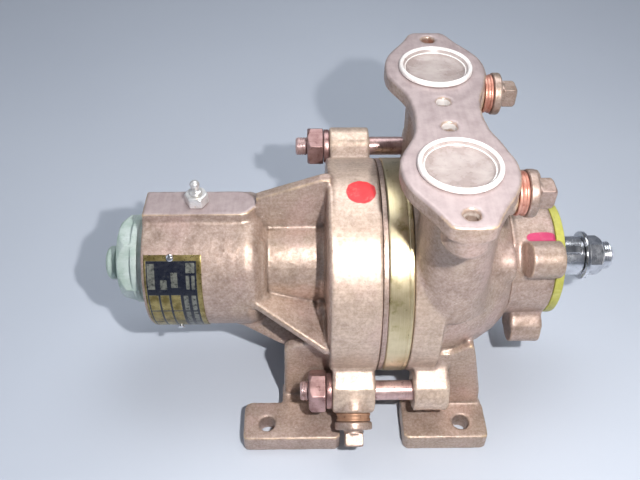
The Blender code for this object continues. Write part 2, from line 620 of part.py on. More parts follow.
lip_seal("grease_seal", INNER_R, -101.0, -94.0)
lip_seal("water_seal", INNER_R, -60.0, -52.5)
lip_seal("drive_seal", SHAFT_R + GAP, 99.0, 106.5)
turned("seal_seat", ring_profile(21.6, 15.4, 66.0, 72.1), CARBON, 44)
turned("seal_head", [
    (SHAFT_R + GAP, 65.6), (17.0, 65.6), (17.0, 63.0), (20.2, 62.0), (20.2, 57.0),
    (SHAFT_R + GAP, 57.0)], STEEL, 44)


def spring(name, radius, wire, low, high, turns):
    """Coil of round wire (radius `wire`) about the shaft, filling low to high along X."""
    curve = bpy.data.curves.new(name, "CURVE")
    curve.dimensions = "3D"
    curve.bevel_depth = wire * MM
    curve.bevel_resolution = 1
    curve.use_fill_caps = True
    line = curve.splines.new("POLY")
    count = int(turns * 10)
    line.points.add(count)
    for i, point in enumerate(line.points):
        share = i / count
        angle = math.tau * turns * share
        point.co = (radius * math.cos(angle) * MM, radius * math.sin(angle) * MM,
                    (low + wire + (high - low - 2 * wire) * share) * MM, 1)
    coil = bpy.data.objects.new(name, curve)
    coil.rotation_euler = (0, math.radians(90), 0)
    coil.location = (0, 0, AXIS_Z * MM)
    put(curve_to_mesh(coil), STEEL)


spring("seal_spring", radius=17.2, wire=1.1, low=46.7, high=56.6, turns=2.5)

# ---------------------------------------------------------------- bearing cap and button
BUTTON_OFFSET = 2.2  # forward of and below the shaft axis
BUTTON_AT = (-BUTTON_OFFSET, AXIS_Z - BUTTON_OFFSET)
cap = rod_x("bearing_cap", 32.2, (-191.9, -176.3), mat=GREEN, sides=6, roll=29)
boolean(cap, "INTERSECT", turned("cap_dome", [
    (0, -170.0), (36.0, -170.0), (36.0, -186.0), (27.5, -192.4), (0, -192.4)], steps=40))
join(cap,
     rod_x("cap_rim", 31.6, (-180.6, -176.3), sides=40),
     turned("cap_spigot", [
         (0, -164.0), (30.4, -164.0), (BEARING_OUT_R, -164.6), (BEARING_OUT_R, -172.0),
         (28.0, -173.0), (28.0, -178.0), (0, -178.0)], steps=40))
cut(cap,
    rod_x("cap_hollow", 20.5, (-187.0, -160.0)),
    rod_x("cap_button_hole", 4.0 + GAP, (-195.0, -180.0), BUTTON_AT, sides=20))
turned("cap_button", [
    (0, -188.5), (4.0, -188.5), (4.0, -192.2), (8.4, -192.2), (8.4, -196.6), (12.2, -197.2),
    (12.2, -201.6), (10.4, BUTTON_END), (0, BUTTON_END)], GREEN, 28, at=(0, *BUTTON_AT))

# ---------------------------------------------------------------- tie studs, nuts, washers
# side, -X end of the stud, roll of the nut in degrees
for side, tip, roll in (("lower", -65.8, 51), ("upper", -68.6, 56)):
    y, z = stud_at(side)
    turned(f"tie_stud_{side}", [
        (0, 33.4), (STUD_R - 0.9, 33.4), (STUD_R, 32.4), (STUD_R, tip + 1.4),
        (STUD_R - 1.2, tip), (0, tip)], STUD_BRONZE, 24, at=(0, y, z))
    tie_nut = rod_x(f"tie_nut_{side}", 15.2, (-59.8, -47.8), (y, z), STUD_BRONZE, 6, roll)
    boolean(tie_nut, "INTERSECT", turned(f"tie_nut_dome_{side}", [
        (0, -40.0), (17.0, -40.0), (17.0, -57.4), (13.2, -60.4), (0, -60.4)], at=(0, y, z)))
    cut(tie_nut, rod_x(f"tie_nut_bore_{side}", STUD_R + 0.4, (-70, -40), (y, z), sides=28))
    turned(f"tie_washer_{side}", ring_profile(12.6, STUD_R + GAP, -47.4, -43.5, chamfer=0.5),
           STUD_BRONZE, 28, at=(0, y, z))


# ---------------------------------------------------------------- plugs with copper washers
def square_plug(name, seat, direction, thread_r, thread_len, collar_r):
    """Plug with a round collar and a square head; `seat` is where its washer rests."""
    direction = Vector(direction).normalized()

    def section(part, radius, low, high, mat=None, **options):
        """Rod between two distances out from the seat."""
        start, end = (Vector(seat) + direction * distance for distance in (low, high))
        return rod(part, radius, start, end, mat, **options)

    plug = section(name, collar_r, 6.1, 11.6, BRONZE, sides=28)
    join(plug,
         section(f"{name}_neck", 6.6, 11.0, 14.0, sides=20),
         section(f"{name}_thread", thread_r, -thread_len, 7.0, sides=20),
         section(f"{name}_head", 8.9, 13.4, 23.0, sides=4, roll=45))
    washer = section(f"{name}_washer", collar_r - 1.1, 0.3, 5.8, COPPER, sides=28)
    cut(washer, section(f"{name}_washer_bore", thread_r + GAP, -3, 9, sides=24))


def port_plug(side, sign):
    """The port plugs' washers carry the side at the end of their names."""
    square_plug(f"port_plug_{side}", (PLUG_X, sign * PORT_Y, PLUG_Z), (1, 0, 0),
                thread_r=PLUG_HOLE_R - GAP, thread_len=10.0, collar_r=14.0)
    for ending in ("", "_bore"):
        helper = bpy.data.objects[f"port_plug_{side}_washer{ending}"]
        helper.name = f"port_plug_washer_{side}{ending}"


for side, sign in PORTS:
    port_plug(side, sign)
square_plug("drain_plug", (DRAIN_X, *polar(DRAIN_SEAT_R, STUD_ANGLE, CASE_Z)),
            (0, *polar(1.0, STUD_ANGLE, 0.0)), thread_r=5.5, thread_len=6.5, collar_r=13.0)

# ---------------------------------------------------------------- grease fitting
# Profiles are (radius, height over the hub pad)
adapter = turned("grease_adapter", shifted([
    (0, 8.0), (7.4, 8.0), (8.0, 7.2), (8.0, 1.6), (7.4, 0.3), (3.7, 0.3), (3.7, -12.0),
    (0, -12.0)], HUB_PAD_Z), STEEL, 6, "Z", (*GREASE_AT, 0))
cut(adapter, rod_z("grease_adapter_bore", 2.4, GREASE_AT, (HUB_PAD_Z + 2, HUB_PAD_Z + 20), 14))
turned("grease_nipple", shifted([
    (0, 18.6), (1.2, 18.6), (3.3, 16.6), (3.3, 14.8), (2.2, 12.6), (2.4, 11.2), (4.4, 10.4),
    (4.4, 8.3), (2.1, 8.3), (2.1, 3.0), (0, 3.0)], HUB_PAD_Z), CHROME, 20, "Z",
    (*GREASE_AT, 0))

# ---------------------------------------------------------------- nameplate
LABEL_X0, LABEL_LENGTH = -168.0, 38.0
LABEL_TOP, LABEL_SWEEP = 47.6, 86.9      # polar angle of the upper edge, degrees down from it
LABEL_T = 0.8
bpy.ops.mesh.primitive_grid_add(x_subdivisions=1, y_subdivisions=16, size=1)
label = bpy.context.object
label.name = "nameplate"
for vertex in label.data.vertices:
    angle = LABEL_TOP - (vertex.co.y + 0.5) * LABEL_SWEEP
    x = LABEL_X0 + (vertex.co.x + 0.5) * LABEL_LENGTH
    vertex.co = Vector((x, *polar(HUB_R + 0.4, angle))) * MM
sheet = label.modifiers.new("sheet", "SOLIDIFY")
sheet.thickness = LABEL_T * MM
sheet.offset = -1.0
put(label, PLATE_BLACK)
for i, (x, angle) in enumerate(PLATE_SCREWS):
    cut(label, spoke_rod(f"nameplate_hole_{i}", PLATE_SCREW_HOLE_R, x, (43.0, 56.0), angle,
                         sides=12))
    pin = spoke_rod(f"nameplate_screw_{i + 1}", PLATE_SCREW_HOLE_R - GAP, x,
                    (43.4, HUB_R + 2.9), angle, STEEL, 12)
    join(pin, spoke_rod(f"nameplate_head_{i}", 2.7, x, (HUB_R + 1.6, HUB_R + 3.1), angle,
                        sides=16, tip_radius=1.9))

# ---------------------------------------------------------------- port caps
# radius, height over the top plate
port_cap_profile = [
    (0, -3.4), (18.8, -3.4), (20.8, 2.6), (22.0, 4.0), (23.4, 3.2), (24.2, 1.8), (24.2, 0.3),
    (19.6, 0.3), (18.9, -10.0), (17.4, -10.0), (17.2, -5.0), (0, -5.0)]
for side, sign in PORTS:
    turned(f"port_cap_{side}", shifted(port_cap_profile, TOP_Z), WHITE, 40, "Z",
           (PORT_X, sign * PORT_Y, 0))

# ---------------------------------------------------------------- footprint centre as the origin
SHIFT_X = -(BUTTON_END + SHAFT_END) / 2
SHIFT_Y = 3.69
frame = bpy.data.objects.new("pump_frame", None)
bpy.context.scene.collection.objects.link(frame)
frame.location = (SHIFT_X * MM, SHIFT_Y * MM, 0)
for piece in list(parts.objects) + list(tools.objects):
    piece.parent = frame
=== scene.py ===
# A cast bronze impeller pump standing on four feet. The shaft runs along X: the bearing bracket
# is towards -X, the body with its two capped ports on top is in the middle, and the end cover
# and the drive end of the shaft are towards +X. The front, or near side, faces -Y.
import math

import bpy
import numpy as np
from mathutils import Matrix, Vector


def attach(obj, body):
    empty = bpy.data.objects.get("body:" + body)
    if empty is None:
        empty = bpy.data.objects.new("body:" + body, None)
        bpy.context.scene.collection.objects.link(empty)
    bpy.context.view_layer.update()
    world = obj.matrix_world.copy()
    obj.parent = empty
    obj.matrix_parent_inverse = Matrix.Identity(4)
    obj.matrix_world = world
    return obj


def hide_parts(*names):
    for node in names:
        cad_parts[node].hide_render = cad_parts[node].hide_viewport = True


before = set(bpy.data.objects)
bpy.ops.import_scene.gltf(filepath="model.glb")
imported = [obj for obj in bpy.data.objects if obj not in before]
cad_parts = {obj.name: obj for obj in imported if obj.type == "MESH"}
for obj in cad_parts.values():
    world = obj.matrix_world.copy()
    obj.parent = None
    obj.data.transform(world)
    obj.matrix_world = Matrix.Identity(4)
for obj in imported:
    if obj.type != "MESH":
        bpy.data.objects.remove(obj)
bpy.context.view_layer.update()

# Layout in mm, with X = 0 at the centre ring, Y = 0 on the shaft and Z = 0 on the floor.
SHIFT = np.array([21.45, 3.69, 0.0])    # from the layout to the frame's own origin
AXIS_Z = 101.0
ECCENTRICITY = 7.4                      # the casing sits this far below the shaft
CASE_R = 77.5
CASE_Z = AXIS_Z - ECCENTRICITY
SHAFT_YZ = (0.0, AXIS_Z)
CASE_YZ = (0.0, CASE_Z)
BORE_R = 15.2
HUB_R, HUB_END_X = 47.5, -170.5
NECK_R = 34.0
BRACKET_FACE_X = -11.9
BODY_END_X = 78.0
COVER_END_X = 108.3
LAND_Z = AXIS_Z + 53.0                  # flat land on top of the hub
PORT_X, PORT_Y, TOP_Z = 25.5, 52.5, 224.5
PORT_HOLE_OFFSET = 39.3                 # tapped holes, along Y from each port's centre
PORT_PLUG_Z = AXIS_Z + 104
STUD_R, STUD_AT, STUD_ANGLE, EAR_R = 6.9, 91.3, -34.0, 14.0
STUD_HOLE_R = STUD_R + 0.35
FOOT_T, FOOT_Y_IN, FOOT_Y_OUT = 15.6, 67.0, 98.0
FOOT_HOLE_Y, FOOT_HOLE_R = 85, 5.9
LOBE_AT, LOBE_ANGLE = 51.0, 42.0        # four lobes of the end cover
SCREW_AT = 29.5                         # four screws of the end cover
FITTING_X = -134
PIN_X, PIN_ANGLES = -150.5, (45.4, -37.6)
FINE = 1.0       # grid coarsening for quick builds
CAST_CELL = 1.12 * FINE

CORNERS = [(i, j, k) for i in (0, 1) for j in (0, 1) for k in (0, 1)]


def polar(radius, angle, z=AXIS_Z):
    """(y, z) at an angle in degrees that starts at -Y and rises towards +Z."""
    turn = math.radians(angle)
    return -radius * math.cos(turn), z + radius * math.sin(turn)


STUD_ANGLES = {"lower": STUD_ANGLE, "upper": STUD_ANGLE + 180}
STUDS = {side: polar(STUD_AT, angle, CASE_Z) for side, angle in STUD_ANGLES.items()}
LOBES = [(LOBE_ANGLE + 90.0 * i, polar(LOBE_AT, LOBE_ANGLE + 90.0 * i)) for i in range(4)]
SCREWS = [polar(SCREW_AT, 90 * i) for i in range(4)]
DRAIN_Y, DRAIN_Z = polar(1.0, STUD_ANGLE, 0.0)


def drain_point(radius):
    """Place on the drain plug's line, which leaves the casing at the lower stud's angle."""
    return (-28.4, DRAIN_Y * radius, CASE_Z + DRAIN_Z * radius)


def x_line(start, end, centre=SHAFT_YZ):
    """Two end points of a line along X through (y, z)."""
    return (start, *centre), (end, *centre)


def z_line(x, y, start, end):
    return (x, y, start), (x, y, end)


def mirrored(points, side):
    """Outline in XY, with Y turned over when side is -1."""
    return [(x, side * y) for x, y in points]


def basis(direction):
    """Unit direction and two unit vectors across it."""
    along = np.array(direction, float)
    along /= np.linalg.norm(along)
    if abs(along[0]) > 0.9:
        return along, np.array([0, -1.0, 0]), np.array([0, 0, 1.0])
    first = np.array([1.0, 0, 0])
    if abs(along[2]) > 0.9:
        return along, first, np.array([0, 1.0, 0])
    return along, first, np.cross(along, first)


# ------------------------------------------------------------------ solid fields
# A shape is (low corner, high corner, signed distance function); distances are negative inside.
def smooth_min(first, second, blend):
    if blend <= 0:
        return np.minimum(first, second)
    overlap = np.maximum(blend - np.abs(first - second), 0.0) / blend
    return np.minimum(first, second) - overlap * overlap * (blend * 0.25)


def outline_distance(across, up, points):
    """Signed distance to a closed outline in its own plane."""
    shape = np.broadcast_shapes(np.shape(across), np.shape(up))
    square = np.full(shape, 1e12)
    inside = np.zeros(shape, bool)
    for i, (start_a, start_u) in enumerate(points):
        run = points[i - 1][0] - start_a
        rise = points[i - 1][1] - start_u
        from_a, from_u = across - start_a, up - start_u
        part = np.clip((from_a * run + from_u * rise) / (run * run + rise * rise + 1e-12), 0, 1)
        square = np.minimum(square, (from_a - run * part) ** 2 + (from_u - rise * part) ** 2)
        end_u = points[i - 1][1]
        if start_u != end_u:
            between = (start_u > up) != (end_u > up)
            inside ^= between & (across < start_a + (up - start_u) * run / rise)
    return np.where(inside, -1.0, 1.0) * np.sqrt(square)


def round_edge(side, cap, edge):
    """Meet a side and a cap in an edge rounded to radius `edge`."""
    side, cap = side + edge, cap + edge
    outside = np.hypot(np.maximum(side, 0), np.maximum(cap, 0))
    return np.minimum(np.maximum(side, cap), 0) + outside - edge


class Field:
    """Distance field on a grid, in mm, that becomes one closed mesh."""

    def __init__(self, low, high, cell):
        self.cell = cell
        self.low = np.array(low, float) - 2.5 * cell
        span = np.array(high, float) + 2.5 * cell - self.low
        counts = np.ceil(span / cell).astype(int) + 1
        self.axes = [self.low[i] + cell * np.arange(counts[i]) for i in range(3)]
        self.values = np.full(counts, 30.0, np.float32)

    def _merge(self, shape, blend, sign):
        low, high, distance = shape
        pad = blend + 3
        window = []
        for i, axis in enumerate(self.axes):
            first = max(0, int((low[i] - pad - self.low[i]) / self.cell))
            last = min(len(axis), int((high[i] + pad - self.low[i]) / self.cell) + 2)
            window.append(slice(first, max(first, last)))
        window = tuple(window)
        grid = np.ix_(*[axis[part] for axis, part in zip(self.axes, window)])
        self.values[window] = sign * smooth_min(sign * self.values[window], distance(*grid), blend)

    def add(self, shape, blend=0.0):
        self._merge(shape, blend, 1)

    def cut(self, shape, blend=0.0):
        self._merge(shape, blend, -1)

    def trim(self, axis, low=-np.inf, high=np.inf):
        """Keep only what lies between two stations along an axis."""
        shape = [1, 1, 1]
        shape[axis] = -1
        place = self.axes[axis].reshape(shape)
        outside = np.maximum(low - place, place - high)
        self.values = np.maximum(self.values, outside).astype(np.float32)

    def mesh(self):
        """One vertex in each crossed cell and one quad across each crossed grid edge."""
        values = self.values
        for axis in range(3):       # close the mesh at the grid's sides
            layers = np.moveaxis(values, axis, 0)
            layers[0] = layers[-1] = 5.0
        inside = values < 0
        counts = [n - 1 for n in values.shape]
        views = [inside[i:i + counts[0], j:j + counts[1], k:k + counts[2]] for i, j, k in CORNERS]
        crossed = np.logical_or.reduce(views) & ~np.logical_and.reduce(views)
        index = np.full(crossed.shape, -1, np.int64)
        cells = np.argwhere(crossed)
        index[crossed] = np.arange(len(cells))
        at_corner = {c: values[tuple((cells + c).T)].astype(float) for c in CORNERS}
        total = np.zeros((len(cells), 3))
        hits = np.zeros(len(cells))
        for corner in CORNERS:
            for axis in range(3):
                if corner[axis]:
                    continue
                other = list(corner)
                other[axis] = 1
                near, far = at_corner[corner], at_corner[tuple(other)]
                cross = (near < 0) != (far < 0)
                part = np.where(cross, near / np.where(near == far, 1, near - far), 0)
                point = np.array(corner, float) + np.zeros((len(cells), 3))
                point[:, axis] += part
                total[cross] += point[cross]
                hits += cross
        verts = self.low + (cells + total / hits[:, None]) * self.cell
        quads = []
        for axis in range(3):
            across, up = (axis + 1) % 3, (axis + 2) % 3
            near, far = [slice(1, -1)] * 3, [slice(1, -1)] * 3
            near[axis], far[axis] = slice(0, -1), slice(1, None)
            near, far = inside[tuple(near)], inside[tuple(far)]
            for order, mask in ((1, near & ~far), (-1, ~near & far)):
                at = np.argwhere(mask)
                if not len(at):
                    continue
                ring = []
                for step_a, step_u in ((0, 0), (1, 0), (1, 1), (0, 1)):
                    cell = at.copy()
                    cell[:, across] += step_a
                    cell[:, up] += step_u
                    ring.append(index[tuple(cell.T)])
                quads.append(np.stack(ring, 1)[:, ::order])
        return verts, np.concatenate(quads)


def line_box(start, end, along, radius):
    """Corners of the box round a round bar."""
    reach = radius * np.sqrt(np.maximum(1 - along * along, 0)) + 0.5
    return np.minimum(start, end) - reach, np.maximum(start, end) + reach


def rod(start, end, radius, edge):
    start, end = np.array(start, float), np.array(end, float)
    length = np.linalg.norm(end - start)
    along = (end - start) / length

    def distance(x, y, z):
        x, y, z = x - start[0], y - start[1], z - start[2]
        place = x * along[0] + y * along[1] + z * along[2]
        off = np.sqrt(np.maximum(x * x + y * y + z * z - place * place, 0))
        return round_edge(off - radius, np.abs(place - length / 2) - length / 2, edge)

    return (*line_box(start, end, along, radius), distance)


def turn_yz(y, z, angle, pivot):
    """Coordinates before a turn that lifts the front side by `angle` degrees."""
    turn = -math.radians(angle)
    cos, sin = math.cos(turn), math.sin(turn)
    y, z = y - pivot[0], z - pivot[1]
    return cos * y + sin * z + pivot[0], -sin * y + cos * z + pivot[1]


def turned_box(low, high, angle, pivot):
    if not angle:
        return np.array(low, float), np.array(high, float)
    ends = [turn_yz(y, z, -angle, pivot) for y in (low[1], high[1]) for z in (low[2], high[2])]
    return np.array([low[0], *np.min(ends, 0)]), np.array([high[0], *np.max(ends, 0)])


def box(x_span, y_span, z_span, edge, angle=0.0, pivot=SHAFT_YZ):
    low = np.array([x_span[0], min(y_span), z_span[0]], float)
    high = np.array([x_span[1], max(y_span), z_span[1]], float)
    mid, half = (low + high) / 2, (high - low) / 2

    def distance(x, y, z):
        if angle:
            y, z = turn_yz(y, z, angle, pivot)
        x = np.abs(x - mid[0]) - half[0] + edge
        y = np.abs(y - mid[1]) - half[1] + edge
        z = np.abs(z - mid[2]) - half[2] + edge
        out = np.sqrt(np.maximum(x, 0) ** 2 + np.maximum(y, 0) ** 2 + np.maximum(z, 0) ** 2)
        return out + np.minimum(np.maximum(np.maximum(x, y), z), 0) - edge

    return (*turned_box(low, high, angle, pivot), distance)


def plate(points, plane, offset, thick, edge, angle=0.0):
    """Outline in XZ, XY or YZ, given its thickness about `offset` on the third axis."""
    (low_a, low_u), (high_a, high_u) = np.min(points, 0), np.max(points, 0)
    start, end = offset - thick / 2, offset + thick / 2
    if plane == "XZ":
        low, high = (low_a, start, low_u), (high_a, end, high_u)
    elif plane == "XY":
        low, high = (low_a, low_u, start), (high_a, high_u, end)
    else:
        low, high = (start, low_a, low_u), (end, high_a, high_u)

    def distance(x, y, z):
        if angle:
            y, z = turn_yz(y, z, angle, SHAFT_YZ)
        across, up, through = {"XZ": (x, z, y), "XY": (x, y, z), "YZ": (y, z, x)}[plane]
        side = outline_distance(across, up, points)
        return round_edge(side, np.abs(through - offset) - thick / 2, edge)

    return (*turned_box(low, high, angle, SHAFT_YZ), distance)


def slanted_plate(points, thick, edge, fall, from_x, lift):
    """XY plate through the shaft, its middle `lift` above, falling towards +X from `from_x`."""
    cos, sin = math.cos(math.radians(fall)), math.sin(math.radians(fall))
    (low_x, low_y), (high_x, high_y) = np.min(points, 0), np.max(points, 0)
    reach = (high_x - from_x) * sin + thick

    def distance(x, y, z):
        across = (x - from_x) * cos - (z - AXIS_Z) * sin + from_x
        through = (x - from_x) * sin + (z - AXIS_Z) * cos
        side = outline_distance(across, y, points)
        return round_edge(side, np.abs(through - lift) - thick / 2, edge)

    return (np.array([low_x - 3, low_y, AXIS_Z - reach]),
            np.array([high_x + 3, high_y, AXIS_Z + thick]), distance)


def turned(profile):
    """Solid turned about the shaft from (radius, x) points that start and end at radius 0."""
    points = [(x, radius) for radius, x in profile]
    points = [(points[0][0], -40.0)] + points + [(points[-1][0], -40.0)]
    stations, big = [p[0] for p in points], max(p[1] for p in points)

    def distance(x, y, z):
        radius = np.sqrt(y ** 2 + (z - AXIS_Z) ** 2)[0]
        step = 0.25
        grid = np.arange(0, radius.max() + 2 * step, step)
        table = outline_distance(x[:, 0, 0][:, None], grid[None, :], points)
        index = (radius / step).astype(int)
        part = radius / step - index
        return table[:, index] * (1 - part) + table[:, index + 1] * part

    return (np.array([min(stations), -big, AXIS_Z - big]),
            np.array([max(stations), big, AXIS_Z + big]), distance)


def prism(start, end, corner_r, corner_angle, sides=6, edge=0.7, chamfer=((0, 0), (0, 0))):
    """Regular prism. Chamfers are (depth, radius left flat) at the start and at the end."""
    start, end = np.array(start, float), np.array(end, float)
    length = np.linalg.norm(end - start)
    along, first, second = basis(end - start)
    flat = corner_r * math.cos(math.pi / sides)

    def distance(x, y, z):
        x, y, z = x - start[0], y - start[1], z - start[2]
        place = x * along[0] + y * along[1] + z * along[2]
        across = x * first[0] + y * first[1] + z * first[2]
        up = x * second[0] + y * second[1] + z * second[2]
        side = -1e3
        for i in range(sides):
            turn = math.radians(corner_angle) + math.tau * (i + 0.5) / sides
            side = np.maximum(side, across * math.cos(turn) + up * math.sin(turn) - flat)
        body = round_edge(side, np.abs(place - length / 2) - length / 2, edge)
        off = np.sqrt(across * across + up * up)
        for inward, (depth, radius) in zip((place, length - place), chamfer):
            if depth:
                slope = depth / (corner_r - radius)
                body = np.maximum(body, (slope * (off - radius) - inward) / math.hypot(1, slope))
        return body

    return (*line_box(start, end, along, corner_r), distance)


# ------------------------------------------------------------------ mesh helpers
LATTICE = np.random.default_rng(11).random((32, 32, 32))


def noise3(points, size, seed):
    """Smooth noise from -1 to 1 with features of about `size` mm."""
    scaled = points / size + np.array([seed * 7.31, seed * 3.17, seed * 5.71])
    cell = np.floor(scaled).astype(int)
    part = scaled - cell
    part = part * part * (3 - 2 * part)
    total = 0
    for corner in CORNERS:
        weight = np.prod(np.where(corner, part, 1 - part), axis=1)
        total = total + weight * LATTICE[tuple(((cell + corner) % 32).T)]
    return total * 2 - 1


def quad_edges(quads):
    edges = np.concatenate([quads[:, [k, (k + 1) % 4]] for k in range(4)])
    return np.unique(np.sort(edges, 1), axis=0)


def neighbour_mean(verts, edges, count):
    total = np.empty_like(verts)
    for i in range(verts.shape[1]):
        total[:, i] = (np.bincount(edges[:, 0], verts[edges[:, 1], i], len(verts))
                       + np.bincount(edges[:, 1], verts[edges[:, 0], i], len(verts)))
    return total / count[:, None]


def relax(verts, quads, rounds):
    """Smooth the surface; each second step swells it back to its size."""
    edges = quad_edges(quads)
    count = np.bincount(edges.ravel(), minlength=len(verts)).astype(float)
    for _ in range(rounds):
        verts = verts + 0.5 * (neighbour_mean(verts, edges, count) - verts)
        verts = verts - 0.52 * (neighbour_mean(verts, edges, count) - verts)
    return verts, edges, count


def vertex_normals(verts, quads):
    face = np.cross(verts[quads[:, 2]] - verts[quads[:, 0]], verts[quads[:, 3]] - verts[quads[:, 1]])
    total = np.zeros_like(verts)
    for k in range(4):
        for i in range(3):
            total[:, i] += np.bincount(quads[:, k], face[:, i], len(verts))
    return total / (np.linalg.norm(total, axis=1)[:, None] + 1e-12)


def make(name, verts, faces, mats, node, body="housing", face_mats=None):
    """Object from layout mm that takes the place of one CAD node."""
    mesh = bpy.data.meshes.new(name)
    mesh.from_pydata(((np.asarray(verts, float) + SHIFT) * 0.001).tolist(), [], faces)
    mesh.validate()
    ob = bpy.data.objects.new(name, mesh)
    bpy.context.scene.collection.objects.link(ob)
    for mat in (mats if isinstance(mats, list) else [mats]):
        mesh.materials.append(mat)
    if face_mats is not None:
        mesh.polygons.foreach_set("material_index", face_mats)
    mesh.shade_smooth()
    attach(ob, body)
    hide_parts(node)
    return ob


def attribute(ob, name, values):
    layer = ob.data.attributes.new(name, "FLOAT", "POINT")
    layer.data.foreach_set("value", np.asarray(values, np.float32))


def layout_points(ob):
    """The object's vertices in layout mm."""
    points = np.empty(len(ob.data.vertices) * 3, np.float32)
    ob.data.vertices.foreach_get("co", points)
    return points.reshape(-1, 3) * 1000 - SHIFT


def casting(name, field, mat, node, lumps, machined):
    """Cast piece: relaxed, with shallow lumps off the machined faces, a mask of worn edges that also
    carry a painted highlight, and a mask that darkens the hollows.
    """
    verts, quads = field.mesh()
    verts, edges, count = relax(verts, quads, 4)
    normals = vertex_normals(verts, quads)
    hollow = neighbour_mean(verts, edges, count) - verts
    for _ in range(2):
        hollow = 0.5 * hollow + 0.5 * neighbour_mean(hollow, edges, count)
    ridge = np.clip(-(hollow * normals).sum(1) / (0.16 * field.cell), -1, 1)
    rough = (0.55 * noise3(verts, 7.0, 1) + 0.45 * noise3(verts, 3.2, 2)
             + 0.25 * noise3(verts, 1.9, 3))
    amount = lumps * (1 - machined(verts, normals))
    verts = verts + normals * (rough * amount)[:, None]
    ob = make(name, verts, quads.tolist(), mat, node)
    # convex edges: a mask for wear that is also painted as a highlight
    attribute(ob, "wear_and_highlight", np.clip(ridge, 0, 1))
    # concave places: a mask that makes the hollows darker
    attribute(ob, "hollow_dark", np.clip(-ridge, 0, 1))
    attribute(ob, "milled", machined(verts, normals))
    return ob


def modelled(name, bounds, cell, parts, mat, node, rounds=2, body="housing"):
    """Small piece from (how, shape, blend) parts, where `how` is add or cut."""
    field = Field(*bounds, cell)
    for how, shape, blend in parts:
        getattr(field, how)(shape, blend)
    verts, quads = field.mesh()
    verts = relax(verts, quads, rounds)[0]
    make(name, verts, quads.tolist(), mat, node, body)


def round_x(start, end, reach, centre=SHAFT_YZ):
    """Bounds of a piece along X that reaches this far round (y, z)."""
    y, z = centre
    return (start, y - reach, z - reach), (end, y + reach, z + reach)


def bevelled(points, radius, closed):
    """Polyline with its corners turned into small arcs of three steps."""
    points = [np.array(point, float) for point in points]
    out, last = [], len(points) - 1
    for i, point in enumerate(points):
        if not closed and i in (0, last):
            out.append(point)
            continue
        back, ahead = points[i - 1] - point, points[(i + 1) % len(points)] - point
        back_len, ahead_len = np.linalg.norm(back), np.linalg.norm(ahead)
        cut = min(radius, back_len * 0.45, ahead_len * 0.45)
        if cut < 0.02 or float(back @ ahead) / (back_len * ahead_len) < -0.995:
            out.append(point)
            continue
        start, end = point + back / back_len * cut, point + ahead / ahead_len * cut
        for k in range(4):
            part = k / 3
            out.append((1 - part) ** 2 * start + 2 * part * (1 - part) * point + part * part * end)
    return out


def lathe(name, profile, mats, node, at=(0.0, 0.0, AXIS_Z), direction=(1, 0, 0), steps=96,
          bevel=0.3, shape=None, spacing=None, mat_of=None, body="housing"):
    """Turned piece of (radius, place along direction) points.

    A profile that starts off the axis is closed into a ring. `shape(angle, radius, place)` may
    change the radius, `spacing` adds rings along an open profile, and `mat_of(point)` picks the
    material slot.
    """
    closed = profile[0][0] > 0.01
    points = bevelled(profile, bevel, closed)
    if spacing:
        dense = []
        for start, end in zip(points[:-1], points[1:]):
            count = max(1, int(np.linalg.norm(end - start) / spacing))
            dense += [start + (end - start) * i / count for i in range(count)]
        points = dense + [points[-1]]
    along, first, second = basis(direction)
    at = np.array(at, float)
    verts, rings = [], []
    for radius, place in points:
        if radius < 0.01:
            rings.append([len(verts)])
            verts.append(at + along * place)
            continue
        rings.append(range(len(verts), len(verts) + steps))
        for k in range(steps):
            turn = math.tau * k / steps
            reach = shape(turn, radius, place) if shape else radius
            verts.append(at + along * place
                         + (first * math.cos(turn) + second * math.sin(turn)) * reach)
    faces, face_mats = [], []
    for i in range(len(rings) if closed else len(rings) - 1):
        j = (i + 1) % len(rings)
        here, there = rings[i], rings[j]
        mat = mat_of((points[i] + points[j]) / 2) if mat_of else 0
        for k in range(steps):
            after = (k + 1) % steps
            if len(here) == 1:
                face = [here[0], there[k], there[after]]
            elif len(there) == 1:
                face = [here[k], there[0], here[after]]
            else:
                face = [here[k], there[k], there[after], here[after]]
            faces.append(face)
            face_mats.append(mat)
    verts = np.array(verts)
    volume = 0.0
    for face in faces:
        fan = verts[face] - at
        for i in range(1, len(face) - 1):
            volume += np.dot(fan[0], np.cross(fan[i], fan[i + 1]))
    if volume < 0:
        faces = [face[::-1] for face in faces]
    make(name, verts, faces, mats, node, body, face_mats if mat_of else None)


def ring_profile(inner, outer, start, end):
    return [(inner, start), (outer, start), (outer, end), (inner, end)]


def thread(low, high, pitch, depth, outer_r):
    """Radius change for `lathe` that cuts a thread which fades out at both ends."""
    def shape(turn, radius, place):
        if radius < outer_r - 0.3 or place < low or place > high:
            return radius
        phase = (place / pitch - turn / math.tau) % 1.0
        fade = min(1.0, (place - low) / pitch, (high - place) / pitch)
        return radius - depth * fade * abs(2 * phase - 1)
    return shape


# ------------------------------------------------------------------ materials
def linear(colour):
    """Linear RGBA from an sRGB colour of 0 to 255."""
    return (*[((c / 255 + 0.055) / 1.055) ** 2.4 if c > 10 else c / 255 / 12.92
              for c in colour], 1.0)


